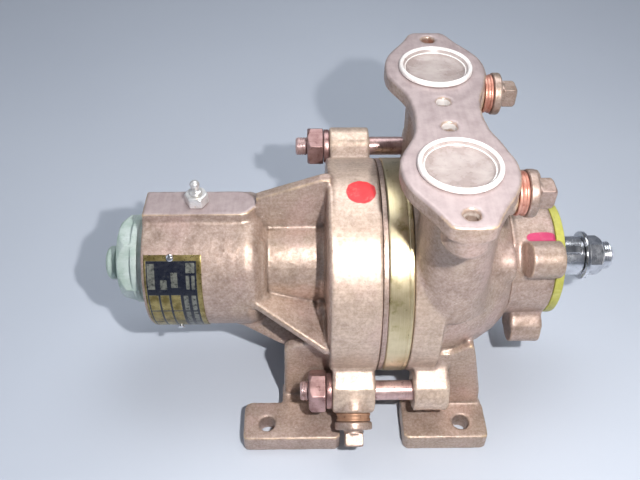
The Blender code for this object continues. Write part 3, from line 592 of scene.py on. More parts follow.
class Tree:
    """Short hand for a node tree round one Principled shader.

    Coordinates are the object's own, in metres. Colours are sRGB from 0 to 255.
    """

    def __init__(self, name):
        self.mat = bpy.data.materials.new(name)
        self.mat.use_nodes = True
        self.nodes = self.mat.node_tree.nodes
        self.xyz = self.node("ShaderNodeTexCoord").outputs["Object"]

    def node(self, kind, **values):
        node = self.nodes.new(kind)
        for key, value in values.items():
            setattr(node, key, value)
        return node

    def put(self, socket, value):
        if isinstance(value, bpy.types.NodeSocket):
            self.mat.node_tree.links.new(value, socket)
        else:
            socket.default_value = value

    def noise(self, scale, detail=4.0, rough=0.55, stretch=None):
        at = self.xyz
        if stretch:
            mapping = self.node("ShaderNodeMapping")
            mapping.inputs["Scale"].default_value = stretch
            self.put(mapping.inputs["Vector"], at)
            at = mapping.outputs[0]
        node = self.node("ShaderNodeTexNoise")
        node.inputs["Scale"].default_value = scale
        node.inputs["Detail"].default_value = detail
        node.inputs["Roughness"].default_value = rough
        self.put(node.inputs["Vector"], at)
        return node.outputs["Fac"]

    def cells(self, scale):
        node = self.node("ShaderNodeTexVoronoi", feature="F1")
        node.inputs["Scale"].default_value = scale
        self.put(node.inputs["Vector"], self.xyz)
        return node.outputs["Distance"]

    def span(self, value, over, to=(0.0, 1.0)):
        """Smooth step of the value from the range `over` to the range `to`."""
        node = self.node("ShaderNodeMapRange", interpolation_type="SMOOTHSTEP")
        self.put(node.inputs["Value"], value)
        for key, limit in zip(("From Min", "From Max", "To Min", "To Max"), (*over, *to)):
            node.inputs[key].default_value = limit
        return node.outputs["Result"]

    def math(self, operation, first, second, clamp=False):
        node = self.node("ShaderNodeMath", operation=operation, use_clamp=clamp)
        self.put(node.inputs[0], first)
        self.put(node.inputs[1], second)
        return node.outputs[0]

    def times(self, first, second):
        return self.math("MULTIPLY", first, second)

    def plus(self, first, second, clamp=False):
        return self.math("ADD", first, second, clamp)

    def weighted(self, first, second, weights):
        return self.plus(self.times(first, weights[0]), self.times(second, weights[1]))

    def vector(self, operation, first, second):
        node = self.node("ShaderNodeVectorMath", operation=operation)
        self.put(node.inputs[0], first)
        self.put(node.inputs[1], second)
        return node.outputs[0]

    def mix(self, mask, first, second, strength=None):
        if strength is not None:
            mask = self.times(mask, strength)
        node = self.node("ShaderNodeMix", data_type="RGBA")
        self.put(node.inputs["Factor"], mask)
        for key, colour in ((6, first), (7, second)):
            self.put(node.inputs[key], linear(colour) if isinstance(colour, tuple) else colour)
        return node.outputs[2]

    def mix_normal(self, mask, first, second):
        node = self.node("ShaderNodeMix", data_type="VECTOR")
        for key, value in (("Factor", mask), (4, first), (5, second)):
            self.put(node.inputs[key], value)
        return node.outputs[1]

    def ramp(self, value, stops):
        node = self.node("ShaderNodeValToRGB")
        self.put(node.inputs[0], value)
        elements = node.color_ramp.elements
        while len(elements) < len(stops):
            elements.new(0.5)
        for element, (place, colour) in zip(elements, stops):
            element.position = place
            element.color = linear(colour)
        return node.outputs[0]

    def attr(self, name):
        return self.node("ShaderNodeAttribute", attribute_name=name).outputs["Fac"]

    def bump(self, height, strength, distance, under=None):
        node = self.node("ShaderNodeBump")
        node.inputs["Strength"].default_value = strength
        node.inputs["Distance"].default_value = distance
        self.put(node.inputs["Height"], height)
        if under is not None:
            self.put(node.inputs["Normal"], under)
        return node.outputs[0]

    def done(self, colour, rough, metal=0.0, normal=None, alpha=1.0):
        inputs = self.nodes["Principled BSDF"].inputs
        self.put(inputs["Base Color"], colour)
        self.put(inputs["Roughness"], rough)
        self.put(inputs["Metallic"], metal)
        self.put(inputs["Alpha"], alpha)
        if normal is not None:
            self.put(inputs["Normal"], normal)
        return self.mat


def worked_surfaces(tree, base, rough, normal, mid):
    """Darker hollows, worn edges with a painted highlight, milled tops and ground rims, placed by
    the mesh attributes.
    """
    # darker in the hollows, following the concave mask
    base = tree.mix(tree.span(tree.attr("hollow_dark"), over=(0.12, 0.75)), base, (72, 54, 44),
                    strength=0.62)
    uneven = tree.plus(mid, 0.35)       # lets the wear and the painted edge highlight break up with the blotches
    wear_and_highlight = tree.times(tree.attr("wear_and_highlight"), uneven)
    # pale gold on convex edges: partly worn metal, partly a painted highlight where light catches
    # the edges
    base = tree.mix(tree.span(wear_and_highlight, over=(0.35, 0.95)), base, (246, 214, 160), strength=0.5)

    tool = tree.weighted(tree.noise(scale=420, detail=3, rough=0.6, stretch=(1, 0.08, 1)), mid,
                         weights=(0.35, 0.65))
    grey = tree.mix(tree.span(tool, over=(0.32, 0.66)), (164, 148, 149), (184, 169, 170))
    brushed = tree.weighted(tree.noise(scale=360, detail=5, rough=0.7),
                            tree.noise(scale=700, detail=2, rough=0.5, stretch=(0.05, 1.0, 1.0)),
                            weights=(0.8, 0.2))
    cream = tree.mix(tree.span(brushed, over=(0.36, 0.64)), (194, 170, 150), (228, 208, 190))

    # the hub's land and the port flange are milled grey, the casing rim is a pale cream
    axes = tree.node("ShaderNodeSeparateXYZ")
    tree.put(axes.inputs[0], tree.xyz)
    x, z = axes.outputs[0], axes.outputs[2]
    top = tree.times(tree.attr("milled"), tree.span(z, over=(0.1520, 0.1534)))
    top = tree.times(top, tree.plus(tree.span(x, over=(-0.072, -0.0735)),
                                    tree.span(z, over=(0.2228, 0.2238)), clamp=True))
    base = tree.mix(top, base, grey, strength=0.86)
    rim = tree.attr("rim")
    cover = tree.span(tree.noise(scale=90, detail=4, rough=0.6), over=(0.25, 0.6), to=(0.35, 0.8))
    base = tree.mix(rim, base, cream, strength=cover)

    top_rough, rim_smooth = 0.04, 0.6   # roughness added on tops, share of smoothing on rims
    rough = tree.plus(rough, tree.times(top, top_rough))
    lines = tree.noise(scale=620, detail=3, rough=0.6, stretch=(0.06, 1, 1))
    normal = tree.mix_normal(tree.math("MAXIMUM", top, tree.times(rim, rim_smooth)), normal,
                             tree.bump(lines, strength=0.10, distance=0.0002))
    return base, rough, normal


def reflection_or_paint_spot(tree, base, rough, at, reach, colour, squash):
    """Spot of colour round a layout point, used for thin paint and for painted reflections; squash
    scales the distance along each axis.
    """
    drift = tree.math("SUBTRACT", tree.noise(scale=110, detail=2, rough=0.5), 0.5)
    wobble = tree.times(drift, reach * 0.0004)
    place = [(c + s) * 0.001 for c, s in zip(at, SHIFT)]
    away = tree.vector("MULTIPLY", tree.vector("SUBTRACT", tree.xyz, place), squash)
    length = tree.node("ShaderNodeVectorMath", operation="LENGTH")
    tree.put(length.inputs[0], away)
    mask = tree.span(tree.plus(length.outputs["Value"], wobble),
                     over=(reach * 0.001, reach * 0.00092))
    thin = tree.span(tree.noise(scale=230, detail=4, rough=0.65), over=(0.2, 0.5), to=(0.72, 1.0))
    added_rough = 0.05
    return (tree.mix(mask, base, colour, strength=thin),
            tree.plus(rough, tree.times(mask, added_rough)))


def bronze_material(name, metal=0.45, paint_and_reflections=(), worked=True):
    tree = Tree(name)
    mid = tree.noise(scale=120, detail=5, rough=0.6)
    fine = tree.noise(scale=520, detail=6, rough=0.7)
    base = tree.ramp(mid, [(0.22, (134, 110, 96)), (0.46, (167, 143, 130)),
                           (0.62, (184, 161, 149)), (0.85, (208, 190, 180))])
    gold = tree.span(tree.noise(scale=26, detail=3, rough=0.5), over=(0.42, 0.68))
    base = tree.mix(gold, base, (172, 152, 126), strength=0.38)
    rosy = tree.span(tree.noise(scale=34, detail=2, rough=0.5, stretch=(1, 1.3, 0.8)),
                     over=(0.5, 0.72))
    base = tree.mix(rosy, base, (206, 172, 166), strength=0.45)
    grain = tree.mix(tree.span(fine, over=(0.3, 0.7)), (136, 112, 98), (228, 212, 204))
    grain_share = 0.3
    base = tree.mix(grain_share, base, grain)
    pits = tree.times(tree.span(tree.cells(scale=330), over=(0.16, 0.05)),
                      tree.span(tree.noise(scale=60, detail=2), over=(0.48, 0.62)))
    base = tree.mix(pits, base, (72, 50, 34), strength=0.6)
    specks = tree.times(tree.span(tree.cells(scale=210), over=(0.085, 0.04)),
                        tree.span(tree.noise(scale=85, detail=1), over=(0.58, 0.66)))
    base = tree.mix(specks, base, (250, 244, 232), strength=0.8)

    rough = tree.span(mid, over=(0.25, 0.8), to=(0.36, 0.52))
    wide = tree.bump(tree.noise(scale=210, detail=4, rough=0.6), strength=0.42, distance=0.0005)
    pit_depth = -1.2
    normal = tree.bump(tree.plus(fine, tree.times(pits, pit_depth)), strength=0.42,
                       distance=0.0002, under=wide)
    # the bare casting and its bump get darker hollows, worn edges with a painted highlight and
    # ground faces before any spots of paint or painted reflection
    if worked:
        base, rough, normal = worked_surfaces(tree, base, rough, normal, mid)
    for spot in paint_and_reflections:
        base, rough = reflection_or_paint_spot(tree, base, rough, **spot)
    return tree.done(base, rough, metal, normal)


# Noise stretch: the fine lines run across the named axis, or have no direction.
LINES_ACROSS_X, LINES_ACROSS_Y, NO_LINES = (1, 0.05, 0.05), (0.05, 1, 0.05), (1, 1, 1)


def metal_material(name, dark, light, rough, metal, bump, scale, stain=None,
                   lines=LINES_ACROSS_X):
    tree = Tree(name)
    fine = tree.noise(scale=900, detail=3, rough=0.6, stretch=lines)
    blot = tree.noise(scale, detail=4, rough=0.6)
    base = tree.mix(tree.span(blot, over=(0.28, 0.72)), dark, light)
    base = tree.mix(tree.span(fine, over=(0.35, 0.7)), base, light, strength=0.3)
    if stain:
        patches = tree.noise(scale * 2.2, detail=5, rough=0.65)
        base = tree.mix(tree.span(patches, over=(0.55, 0.72), to=(0, 0.75)), base, stain)
    line_rough = 0.06
    roughness = tree.plus(tree.span(blot, over=(0.3, 0.7), to=rough), tree.times(fine, line_rough))
    under = tree.bump(tree.noise(scale * 5, detail=4), bump, distance=0.0003)
    return tree.done(base, roughness, metal, tree.bump(fine, bump, 0.0002, under))


def plastic_material(name, dark, light, rough, bump, streak=None, alpha=1.0):
    tree = Tree(name)
    blot = tree.noise(scale=70, detail=5, rough=0.62)
    base = tree.mix(tree.span(blot, over=(0.3, 0.7)), dark, light)
    if streak:
        streaks = tree.noise(scale=150, detail=5, rough=0.65, stretch=(0.25, 1, 1))
        base = tree.mix(tree.span(streaks, over=(0.52, 0.75), to=(0, 0.6)), base, streak)
    grime = tree.span(tree.noise(scale=330, detail=5, rough=0.7), over=(0.56, 0.7))
    base = tree.mix(grime, base, tuple(c * 0.62 for c in dark), strength=0.35)
    roughness = tree.span(blot, over=(0.3, 0.7), to=(rough * 0.85, rough * 1.12))
    under = tree.bump(tree.noise(scale=240, detail=4), bump, distance=0.0004)
    fine = tree.noise(scale=900, detail=4, rough=0.6)
    return tree.done(base, roughness, normal=tree.bump(fine, bump, 0.0002, under), alpha=alpha)


dot_y, dot_z = polar(CASE_R, 83.5, CASE_Z)
RED_DOT = dict(at=(-24.5, dot_y - 0.5, dot_z), reach=9.8, colour=(224, 62, 66),
               squash=(0.97, 0.96, 0.5))
LOBE_PAINT = dict(at=(98.6, *polar(41.4, 61.5)), reach=10.4, colour=(198, 72, 112),
                  squash=(0.96, 2.3, 1.1))
# spots in the four tapped holes of the flange: three pale ones are painted reflections, and a
# reddish-brown one sits in the far outer hole
HOLE_REFLECTION_SPOTS = [dict(at=(PORT_X, y, TOP_Z - 3.5), reach=reach, colour=colour, squash=(1, 1, 0.9))
              for y, reach, colour in ((PORT_Y - PORT_HOLE_OFFSET, 5.2, (240, 236, 234)),
                                       (PORT_HOLE_OFFSET - PORT_Y, 5.2, (240, 236, 234)),
                                       (PORT_Y + PORT_HOLE_OFFSET, 4.8, (176, 116, 96)),
                                       (-PORT_Y - PORT_HOLE_OFFSET, 4.8, (232, 222, 214)))]
BRONZE_BRACKET = bronze_material("cast_bronze_bracket", paint_and_reflections=[RED_DOT])
BRONZE_BODY = bronze_material("cast_bronze_body", paint_and_reflections=HOLE_REFLECTION_SPOTS)
BRONZE_COVER = bronze_material("cast_bronze_cover", paint_and_reflections=[LOBE_PAINT])
BRONZE = bronze_material("cast_bronze_small", metal=0.7, worked=False)
BRASS = metal_material("ring_brass", dark=(186, 170, 130), light=(222, 208, 176),
                       rough=(0.24, 0.38), metal=0.75, bump=0.25, scale=40, stain=(150, 138, 84))
STUD = metal_material("stud_bronze", dark=(160, 128, 124), light=(222, 192, 190),
                      rough=(0.26, 0.4), metal=0.6, bump=0.14, scale=90, stain=(110, 72, 66))
NUT = metal_material("nut_bronze", dark=(138, 104, 101), light=(188, 154, 151),
                     rough=(0.28, 0.42), metal=0.7, bump=0.16, scale=110, stain=(104, 62, 56),
                     lines=LINES_ACROSS_Y)
COPPER = metal_material("copper", dark=(186, 118, 100), light=(220, 168, 150),
                        rough=(0.34, 0.48), metal=0.65, bump=0.18, scale=120, stain=(150, 60, 42))
DULL = metal_material("copper_dull", dark=(150, 112, 88), light=(186, 146, 118),
                      rough=(0.4, 0.55), metal=0.5, bump=0.2, scale=140, stain=(110, 76, 56))
STEEL = metal_material("stainless", dark=(190, 192, 198), light=(240, 241, 245),
                       rough=(0.12, 0.26), metal=1.0, bump=0.12, scale=90, stain=(120, 122, 130))
BRIGHT = metal_material("chrome", dark=(160, 164, 172), light=(218, 221, 228),
                        rough=(0.12, 0.22), metal=1.0, bump=0.06, scale=160, lines=NO_LINES)
FITTING = metal_material("fitting_plate", dark=(206, 204, 202), light=(248, 247, 246),
                         rough=(0.24, 0.38), metal=0.7, bump=0.08, scale=160,
                         stain=(190, 156, 108), lines=NO_LINES)
GREEN = plastic_material("green_nylon", dark=(156, 176, 166), light=(190, 202, 198), rough=0.4,
                         bump=0.22, streak=(214, 222, 222))
YELLOW = plastic_material("yellow_plastic", dark=(158, 156, 66), light=(184, 182, 92), rough=0.42,
                          bump=0.12, streak=(200, 198, 128))
WHITE = plastic_material("white_plastic", dark=(222, 214, 210), light=(244, 240, 238), rough=0.34,
                         bump=0.08)
DISC = plastic_material("translucent_disc", dark=(176, 160, 156), light=(206, 194, 190), rough=0.3,
                        bump=0.10, streak=(226, 216, 212), alpha=0.62)
RUBBER = plastic_material("black_rubber", dark=(26, 26, 27), light=(44, 43, 42), rough=0.72,
                          bump=0.3)
CARBON = plastic_material("carbon_face", dark=(34, 34, 37), light=(56, 56, 60), rough=0.36,
                          bump=0.1)


# ------------------------------------------------------------------ parts of both housings
def add_ears(cast, start, end):
    """Two ears that carry the tie studs, between two stations along X."""
    for side, angle in STUD_ANGLES.items():
        cast.add(rod(*x_line(start, end, STUDS[side]), EAR_R, 1.4), 3.0)
        cast.add(box((start + 0.4, end - 0.4), (-STUD_AT - 0.5, -58.0),
                     (CASE_Z - 14.4, CASE_Z + 14.4), 1.4, angle, CASE_YZ), 3.0)


def foot(outer, inner, side):
    """Foot pad between two X edges; the corners at the outer one are the rounder."""
    way = 1 if outer > inner else -1
    outline = [(outer - 5 * way, FOOT_Y_IN), (inner, FOOT_Y_IN), (inner, FOOT_Y_OUT - 3),
               (inner + 3 * way, FOOT_Y_OUT), (outer - 4 * way, FOOT_Y_OUT),
               (outer - way, FOOT_Y_OUT - 1), (outer, FOOT_Y_OUT - 4), (outer, FOOT_Y_IN + 5),
               (outer - 1.5 * way, FOOT_Y_IN + 1.5)]
    return plate(mirrored(outline, side), "XY", FOOT_T / 2, FOOT_T, 1.3)


def leg_web(x, half):
    """Cross web between the legs, from the (y, z) points of its +Y half."""
    points = [(-y, z) for y, z in reversed(half)] + half
    return plate(points, "YZ", x, 8.0, 1.2)


def mark_rim(ob, start, end, ears):
    """Mask of the ground surfaces: the casing rim (0.7) and the ears (1)."""
    points = layout_points(ob)
    x, y, z = points.T
    from_case = np.abs(np.hypot(y, z - CASE_Z) - CASE_R)
    mask = np.clip((1.5 - from_case) / 0.8, 0, 1) * ((x > start) & (x < end)) * 0.7
    for stud_y, stud_z in STUDS.values():
        near = np.hypot(y - stud_y, z - stud_z) < EAR_R + 1.5
        mask = np.maximum(mask, (near & (x > ears[0]) & (x < ears[1])) * 1.0)
    mask *= (z > FOOT_T + 2) & (z < 186)
    attribute(ob, "rim", mask)


# ------------------------------------------------------------------ bearing bracket
# (radius, x) from the casing side to the end of the hub
BRACKET_PROFILE = [
    (0, -20.0), (30.0, -20.0), (70.5, -43.0), (71.5, -45.0), (70.0, -46.4), (40.0, -47.0),
    (NECK_R + 1.0, -48.2), (NECK_R, -51.0), (NECK_R, -87.0), (37.0, -90.2), (HUB_R - 5.0, -92.4),
    (HUB_R - 1.6, -95.6), (HUB_R, -100.5), (HUB_R, HUB_END_X + 1.4), (HUB_R - 1.4, HUB_END_X),
    (0, HUB_END_X)]
# (radius, x) of the bore, with a groove near the end of the hub
BRACKET_BORE = [
    (0, -10.0), (BORE_R, -10.0), (BORE_R, -50.0), (20.5, -50.0), (20.5, -104.0), (31.6, -104.0),
    (31.6, -161.0), (33.9, -161.0), (33.9, -163.3), (31.6, -163.3), (31.6, -175.0), (0, -175.0)]
# (x, y) of the raised land on the hub
LAND_OUTLINE = [
    (HUB_END_X + 0.7, -12.2), (-104, -12.2), (-99, -10.5), (-96, -6.5), (-95, 0), (-96, 6.5),
    (-99, 10.5), (-104, 12.2), (HUB_END_X + 0.7, 12.2)]
# (x, z) of the rib above the neck
TOP_RIB = [
    (-98.0, AXIS_Z + 30), (-98.0, AXIS_Z + 56.5), (-95.0, AXIS_Z + 58.5), (-47.0, AXIS_Z + 76.0),
    (-44.0, AXIS_Z + 74.0), (-44.0, AXIS_Z + 30)]
# (x, y) on the near side
SIDE_RIB = [(-101.5, -28), (-101.5, -43.5), (-98.0, -46.5), (-44.7, -74.0), (-40.5, -72.0),
            (-40.5, -28)]
GUSSET = [(-116.0, -38), (-112.0, -47.8), (-77.0, -66.0), (-46.5, -80.5), (-44.0, -79.0),
          (-44.0, -30), (-100.0, -30)]
# (x, z)
BRACKET_LEG = [(-78.5, 6.0), (-76.6, AXIS_Z - 33.0), (-74.0, AXIS_Z - 30.0),
               (-53.0, AXIS_Z - 22.0), (-44.0, AXIS_Z - 22.0), (-44.0, 6.0)]
# (y, z)
BRACKET_WEB = [(40.0, 17.0), (50.0, 5.0), (58.0, 5.0), (58.0, AXIS_Z - 30), (40.0, AXIS_Z - 10)]


def bracket_solid(cast):
    cast.add(turned(BRACKET_PROFILE))
    cast.add(plate(LAND_OUTLINE, "XY", LAND_Z - 8.0, 16.0, 0.6), 3.6)
    # raised lip round the shoulder of the hub, wandering a little along X
    lip = [(-89.8 + 0.8 * math.sin(a), *polar(38.6, a)) for a in (-70, -35, 0, 30, 62)]
    for start, end in zip(lip, lip[1:]):
        cast.add(rod(start, end, 1.9, 1.8), 3.0)
    cast.add(plate(TOP_RIB, "XZ", 0.0, 8.0, 1.6), 3.5)
    for side in (1, -1):
        cast.add(slanted_plate(mirrored(SIDE_RIB, side), thick=5.4, edge=1.3, fall=20.3,
                               from_x=-98.0, lift=1.3), 3.0)
    for side in (1, -1):
        cast.add(plate(mirrored(GUSSET, side), "XY", AXIS_Z, 8.0, 1.6, angle=-55 * side), 4.5)
    for side in (-1, 1):
        cast.add(foot(-107.0, -37.5, side), 1.0)
        cast.add(plate(BRACKET_LEG, "XZ", side * 55.4, 8.0, 2.2), 9.0)
        cast.add(box((-79.4, -38.4), (side * 50.0, side * 69.0), (0.6, FOOT_T - 0.5), 1.0), 2.0)
    cast.add(leg_web(-48.6, BRACKET_WEB), 3.0)
    cast.add(rod(*x_line(-45.0, BRACKET_FACE_X, CASE_YZ), CASE_R, 1.6), 2.5)
    add_ears(cast, -43.2, -13.6)
    # boss of the drain plug
    cast.add(rod(drain_point(92.0), drain_point(106.5), 13.6, 0.8), 2.5)


def bracket_cuts(cast):
    # flat seats for the washers and the drain plug, then the outer faces
    for stud in STUDS.values():
        cast.cut(rod(*x_line(-68, -43.22, stud), 16.4, 0.2))
    cast.cut(rod(drain_point(106.55), drain_point(120.0), 14.6, 0.1))
    cast.trim(0, low=HUB_END_X, high=BRACKET_FACE_X)
    cast.trim(2, low=0.0)
    cast.cut(box((-180, -94), (-30, 30), (LAND_Z, LAND_Z + 12), 0))
    # bore, casing recess and holes
    cast.cut(turned(BRACKET_BORE))
    cast.cut(rod(*x_line(-38.0, -5.0, CASE_YZ), 60.0, 0.8))
    for stud in STUDS.values():
        cast.cut(rod(*x_line(-60, 0, stud), STUD_HOLE_R, 0.1), 0.6)
    cast.cut(rod(drain_point(98.0), drain_point(115.0), 5.9, 0.1), 0.5)
    cast.cut(rod(*z_line(FITTING_X, 0, AXIS_Z + 20, AXIS_Z + 70), 4.0, 0.1), 0.5)
    for side in (-1, 1):
        cast.cut(rod(*z_line(-90, side * FOOT_HOLE_Y, -4, 24), FOOT_HOLE_R, 0.1), 1.2)
    for angle in PIN_ANGLES:
        cast.cut(rod((PIN_X, *polar(43.0, angle)), (PIN_X, *polar(52.0, angle)), 1.75, 0.1))


def bracket_milled(verts, normals):
    x, y, z = verts.T
    flat = np.zeros(len(verts))
    flat[(np.abs(z - LAND_Z) < 0.5) & (normals[:, 2] > 0.8)] = 1
    flat[(x > -12.6) | (z < 0.5)] = 1
    radius = np.hypot(y, z - CASE_Z)
    flat[(x > -44.4) & (radius > CASE_R - 0.8) & (radius < CASE_R + 0.8)] = 0.6
    flat[np.hypot(y, z - AXIS_Z) < 33] = 1
    return flat


cast = Field((HUB_END_X, -111, 0), (BRACKET_FACE_X, 99, 173), CAST_CELL)
bracket_solid(cast)
bracket_cuts(cast)
bracket = casting("bracket_casting", cast, BRONZE_BRACKET, "bearing_bracket", 0.16, bracket_milled)
mark_rim(bracket, -44.6, -11, ears=(-43, -13))

# ------------------------------------------------------------------ pump body
# (radius, x)
BODY_PROFILE = [
    (0, BODY_END_X), (43.0, BODY_END_X), (46.5, 76.5), (53.5, 69.5), (60.5, 59.0), (65.0, 49.0),
    (68.0, 40.0), (69.5, 31.0), (69.5, 12.0), (0, 12.0)]
BODY_BORE = [(0, 90.0), (22.2, 90.0), (22.2, 46.0), (BORE_R, 46.0), (BORE_R, 2.0), (0, 2.0)]
# (x from the ports' centre line, y) of the flange's -X edge, from its far end to its middle
FLANGE_HALF = [
    (-11.5, 102.5), (-19.0, 88.0), (-29.5, 72.5), (-32.6, 62.5), (-33.5, 52.5), (-32.8, 45.0),
    (-30.5, 38.5), (-25.0, 28.0), (-21.5, 19.0), (-20.0, 9.0), (-19.8, 0.0)]
# (x, z)
BODY_LEG = [(30.0, 6.0), (30.0, AXIS_Z - 27.0), (37.0, AXIS_Z - 27.0), (51.0, AXIS_Z - 17.5),
            (53.5, AXIS_Z - 20.0), (56.5, AXIS_Z - 32.0), (64.5, AXIS_Z - 69.0), (67.4, 6.0)]
# (y, z)
BODY_WEB = [(44.0, 17.0), (56.0, 5.0), (68.0, 5.0), (68.0, AXIS_Z - 28), (40.0, AXIS_Z - 8)]


def flange_outline():
    left = FLANGE_HALF + [(x, -y) for x, y in reversed(FLANGE_HALF[:-1])]
    # the waist is a little wider towards +X
    right = [(-x * (1.0 if abs(y) > 30 else 1.12), y) for x, y in reversed(left)]
    points = [(PORT_X + x, y) for x, y in left + right]
    for _ in range(2):      # soften the outline, with the short flat ends kept
        softer = []
        for i, here in enumerate(points):
            there = points[(i + 1) % len(points)]
            cut = 0.12 if abs(here[1]) > 80 and abs(there[1]) > 80 else 0.25
            softer += [(here[0] * (1 - cut) + there[0] * cut, here[1] * (1 - cut) + there[1] * cut),
                       (here[0] * cut + there[0] * (1 - cut), here[1] * cut + there[1] * (1 - cut))]
        points = softer
    return points


def body_solid(cast):
    cast.add(turned(BODY_PROFILE))
    # port columns under the flange
    cast.add(box((PORT_X - 14, PORT_X + 14), (-44, 44), (AXIS_Z + 45, TOP_Z - 4), 3.0), 8.0)
    for side in (-1, 1):
        cast.add(rod((33.4, side * (PORT_Y - 2), AXIS_Z + 12),
                     (31.8, side * (PORT_Y - 1), TOP_Z - 3), 23.6, 1.0), 6.0)
        cast.add(rod(*z_line(PORT_X, side * 90.5, TOP_Z - 24, TOP_Z - 1), 13.0, 5.0), 2.5)
        cast.add(box((PORT_X - 12.8, PORT_X + 12.8), (side * 62.0, side * 92.0),
                     (TOP_Z - 24.0, TOP_Z - 1), 5.0), 4.0)
    cast.add(plate(flange_outline(), "XY", TOP_Z - 5.0, 10.0, 1.1), 3.0)
    # bosses of the port plugs, and a low boss on the end face
    for side in (-1, 1):
        cast.add(rod(*x_line(PORT_X + 8, 59.0, (side * PORT_Y, PORT_PLUG_Z)), 12.5, 0.8), 3.0)
    cast.add(rod(*x_line(60.0, 77.4, polar(43.8, 39.5)), 13.2, 2.6), 2.4)
    for side in (-1, 1):
        cast.add(foot(69, 8.3, side), 1.0)
        cast.add(plate(BODY_LEG, "XZ", side * 64.5, 9.0, 1.4), 3.5)
        cast.add(box((9.4, 67.4), (side * 59.0, side * 69.0), (0.6, FOOT_T - 0.5), 1.0), 2.0)
    cast.add(leg_web(34.4, BODY_WEB), 3.0)
    cast.add(rod(*x_line(8.4, 28.4, CASE_YZ), CASE_R, 1.6), 4.0)
    add_ears(cast, 13.6, 37.8)


def body_cuts(cast):
    # outer faces
    for side in (-1, 1):
        cast.cut(rod(*x_line(59.05, 78.0, (side * PORT_Y, PORT_PLUG_Z)), 15.0, 0.1))
    cast.trim(0, high=BODY_END_X)
    cast.trim(2, low=0.0, high=TOP_Z)
    cast.cut(box((-60, 8.4), (-130, 130), (-20, 165.4), 0.0))
    # bore and casing recess
    cast.cut(turned(BODY_BORE))
    cast.cut(rod(*x_line(3.0, 11.7, CASE_YZ), 64.9, 0.2))
    # port passages and their openings, then the plug, foot and flange holes
    for side in (-1, 1):
        port_y, inner_y = side * PORT_Y, side * (PORT_Y - 1)
        cast.cut(rod(*z_line(PORT_X, port_y, TOP_Z - 10.3, TOP_Z + 10), 19.6, 0.2), 0.4)
        cast.cut(rod(*z_line(PORT_X + 2.5, inner_y, AXIS_Z + 69.5, TOP_Z - 6), 15.6, 0.6), 0.8)
        cast.cut(box((20.0, 38.5), (side * 32.0, side * 58.0), (AXIS_Z + 4, AXIS_Z + 73), 2.0), 1.0)
        cast.cut(box((4.0, 20.0), (side * 31.0, side * 46.0), (AXIS_Z + 6, AXIS_Z + 26), 1.0), 1.0)
        cast.cut(rod(*x_line(PORT_X + 12, 70.0, (port_y, PORT_PLUG_Z)), 9.35, 0.1), 0.5)
        cast.cut(rod(*z_line(50.7, side * FOOT_HOLE_Y, -4, 24), FOOT_HOLE_R, 0.1), 1.2)
        for way in (-1, 1):
            depth = 19.0 if way == side else 14.0
            hole_y = port_y + way * PORT_HOLE_OFFSET
            cast.cut(rod(*z_line(PORT_X, hole_y, TOP_Z - depth, TOP_Z + 8), 4.5, 0.1), 1.0)
    for stud in STUDS.values():
        cast.cut(rod(*x_line(5, 34.0, stud), STUD_HOLE_R, 0.1), 0.6)
    for screw in SCREWS:
        cast.cut(rod(*x_line(64.0, 90, screw), 2.85, 0.1))


def body_milled(verts, normals):
    x, _, z = verts.T
    flat = np.zeros(len(verts))
    flat[(np.abs(z - TOP_Z) < 0.5) & (normals[:, 2] > 0.8)] = 1
    flat[(x < 8.9) | (z < 0.5) | (x > 77.4)] = 1
    return flat


cast = Field((-8.6, -104, 0), (BODY_END_X, 104, TOP_Z), CAST_CELL)
body_solid(cast)
body_cuts(cast)
pump_body = casting("body_casting", cast, BRONZE_BODY, "pump_body", 0.16, body_milled)
mark_rim(pump_body, 8, 27.8, ears=(13, 38.4))

# ------------------------------------------------------------------ drive end cover
# (radius, x)
COVER_PROFILE = [
    (0, COVER_END_X), (40.4, COVER_END_X), (41.4, 107.3), (41.4, 82.0), (42.3, 79.8), (42.0, 78.4),
    (21.7, 78.4), (21.7, 72.5), (0, 72.5)]
COVER_BORE = [(0, 120.0), (20.4, 120.0), (20.4, 98.0), (16.0, 98.0), (16.0, 60.0), (0, 60.0)]


def cover_field():
    cast = Field(*round_x(72.5, COVER_END_X, 64), 0.85 * FINE)
    cast.add(turned(COVER_PROFILE))
    for angle, lobe in LOBES:
        cast.add(rod(*x_line(86.0, 107.6, lobe), 11.7, 1.2), 3.0)
        cast.add(box((86.4, 107.2), (-LOBE_AT, -30.0), (AXIS_Z - 11.4, AXIS_Z + 11.4), 1.2, angle),
                 3.5)
    cast.trim(0, high=COVER_END_X)
    cast.cut(turned(COVER_BORE))
    for (_, lobe), screw in zip(LOBES, SCREWS):
        cast.cut(rod(*x_line(92.0, 115, lobe), 4.2, 0.1), 0.8)
        cast.cut(rod(*x_line(70.0, 120, screw), 2.85, 0.1))
        cast.cut(rod(*x_line(102.0, 120, screw), 4.85, 0.1), 0.4)
    return cast


def cover_milled(verts, normals):
    flat = np.zeros(len(verts))
    flat[(verts[:, 0] > 107.0) & (normals[:, 0] > 0.8)] = 1
    flat[verts[:, 0] < 79.0] = 1
    return flat


def weaken_wear_and_highlight(ob, start, end, kept):
    """Keep only a share of the wear and painted edge highlight between two stations along X."""
    x = layout_points(ob)[:, 0]
    layer = ob.data.attributes["wear_and_highlight"].data
    wear_and_highlight = np.empty(len(x), np.float32)
    layer.foreach_get("value", wear_and_highlight)
    faded = np.where((x > start) & (x < end), wear_and_highlight * kept, wear_and_highlight)
    layer.foreach_set("value", faded.astype(np.float32))


cover = casting("cover_casting", cover_field(), BRONZE_COVER, "end_cover", 0.13, cover_milled)
# less wear and painted highlight along the seam of the cover
weaken_wear_and_highlight(cover, start=77.0, end=86.0, kept=0.15)
attribute(cover, "rim", np.zeros(len(cover.data.vertices)))

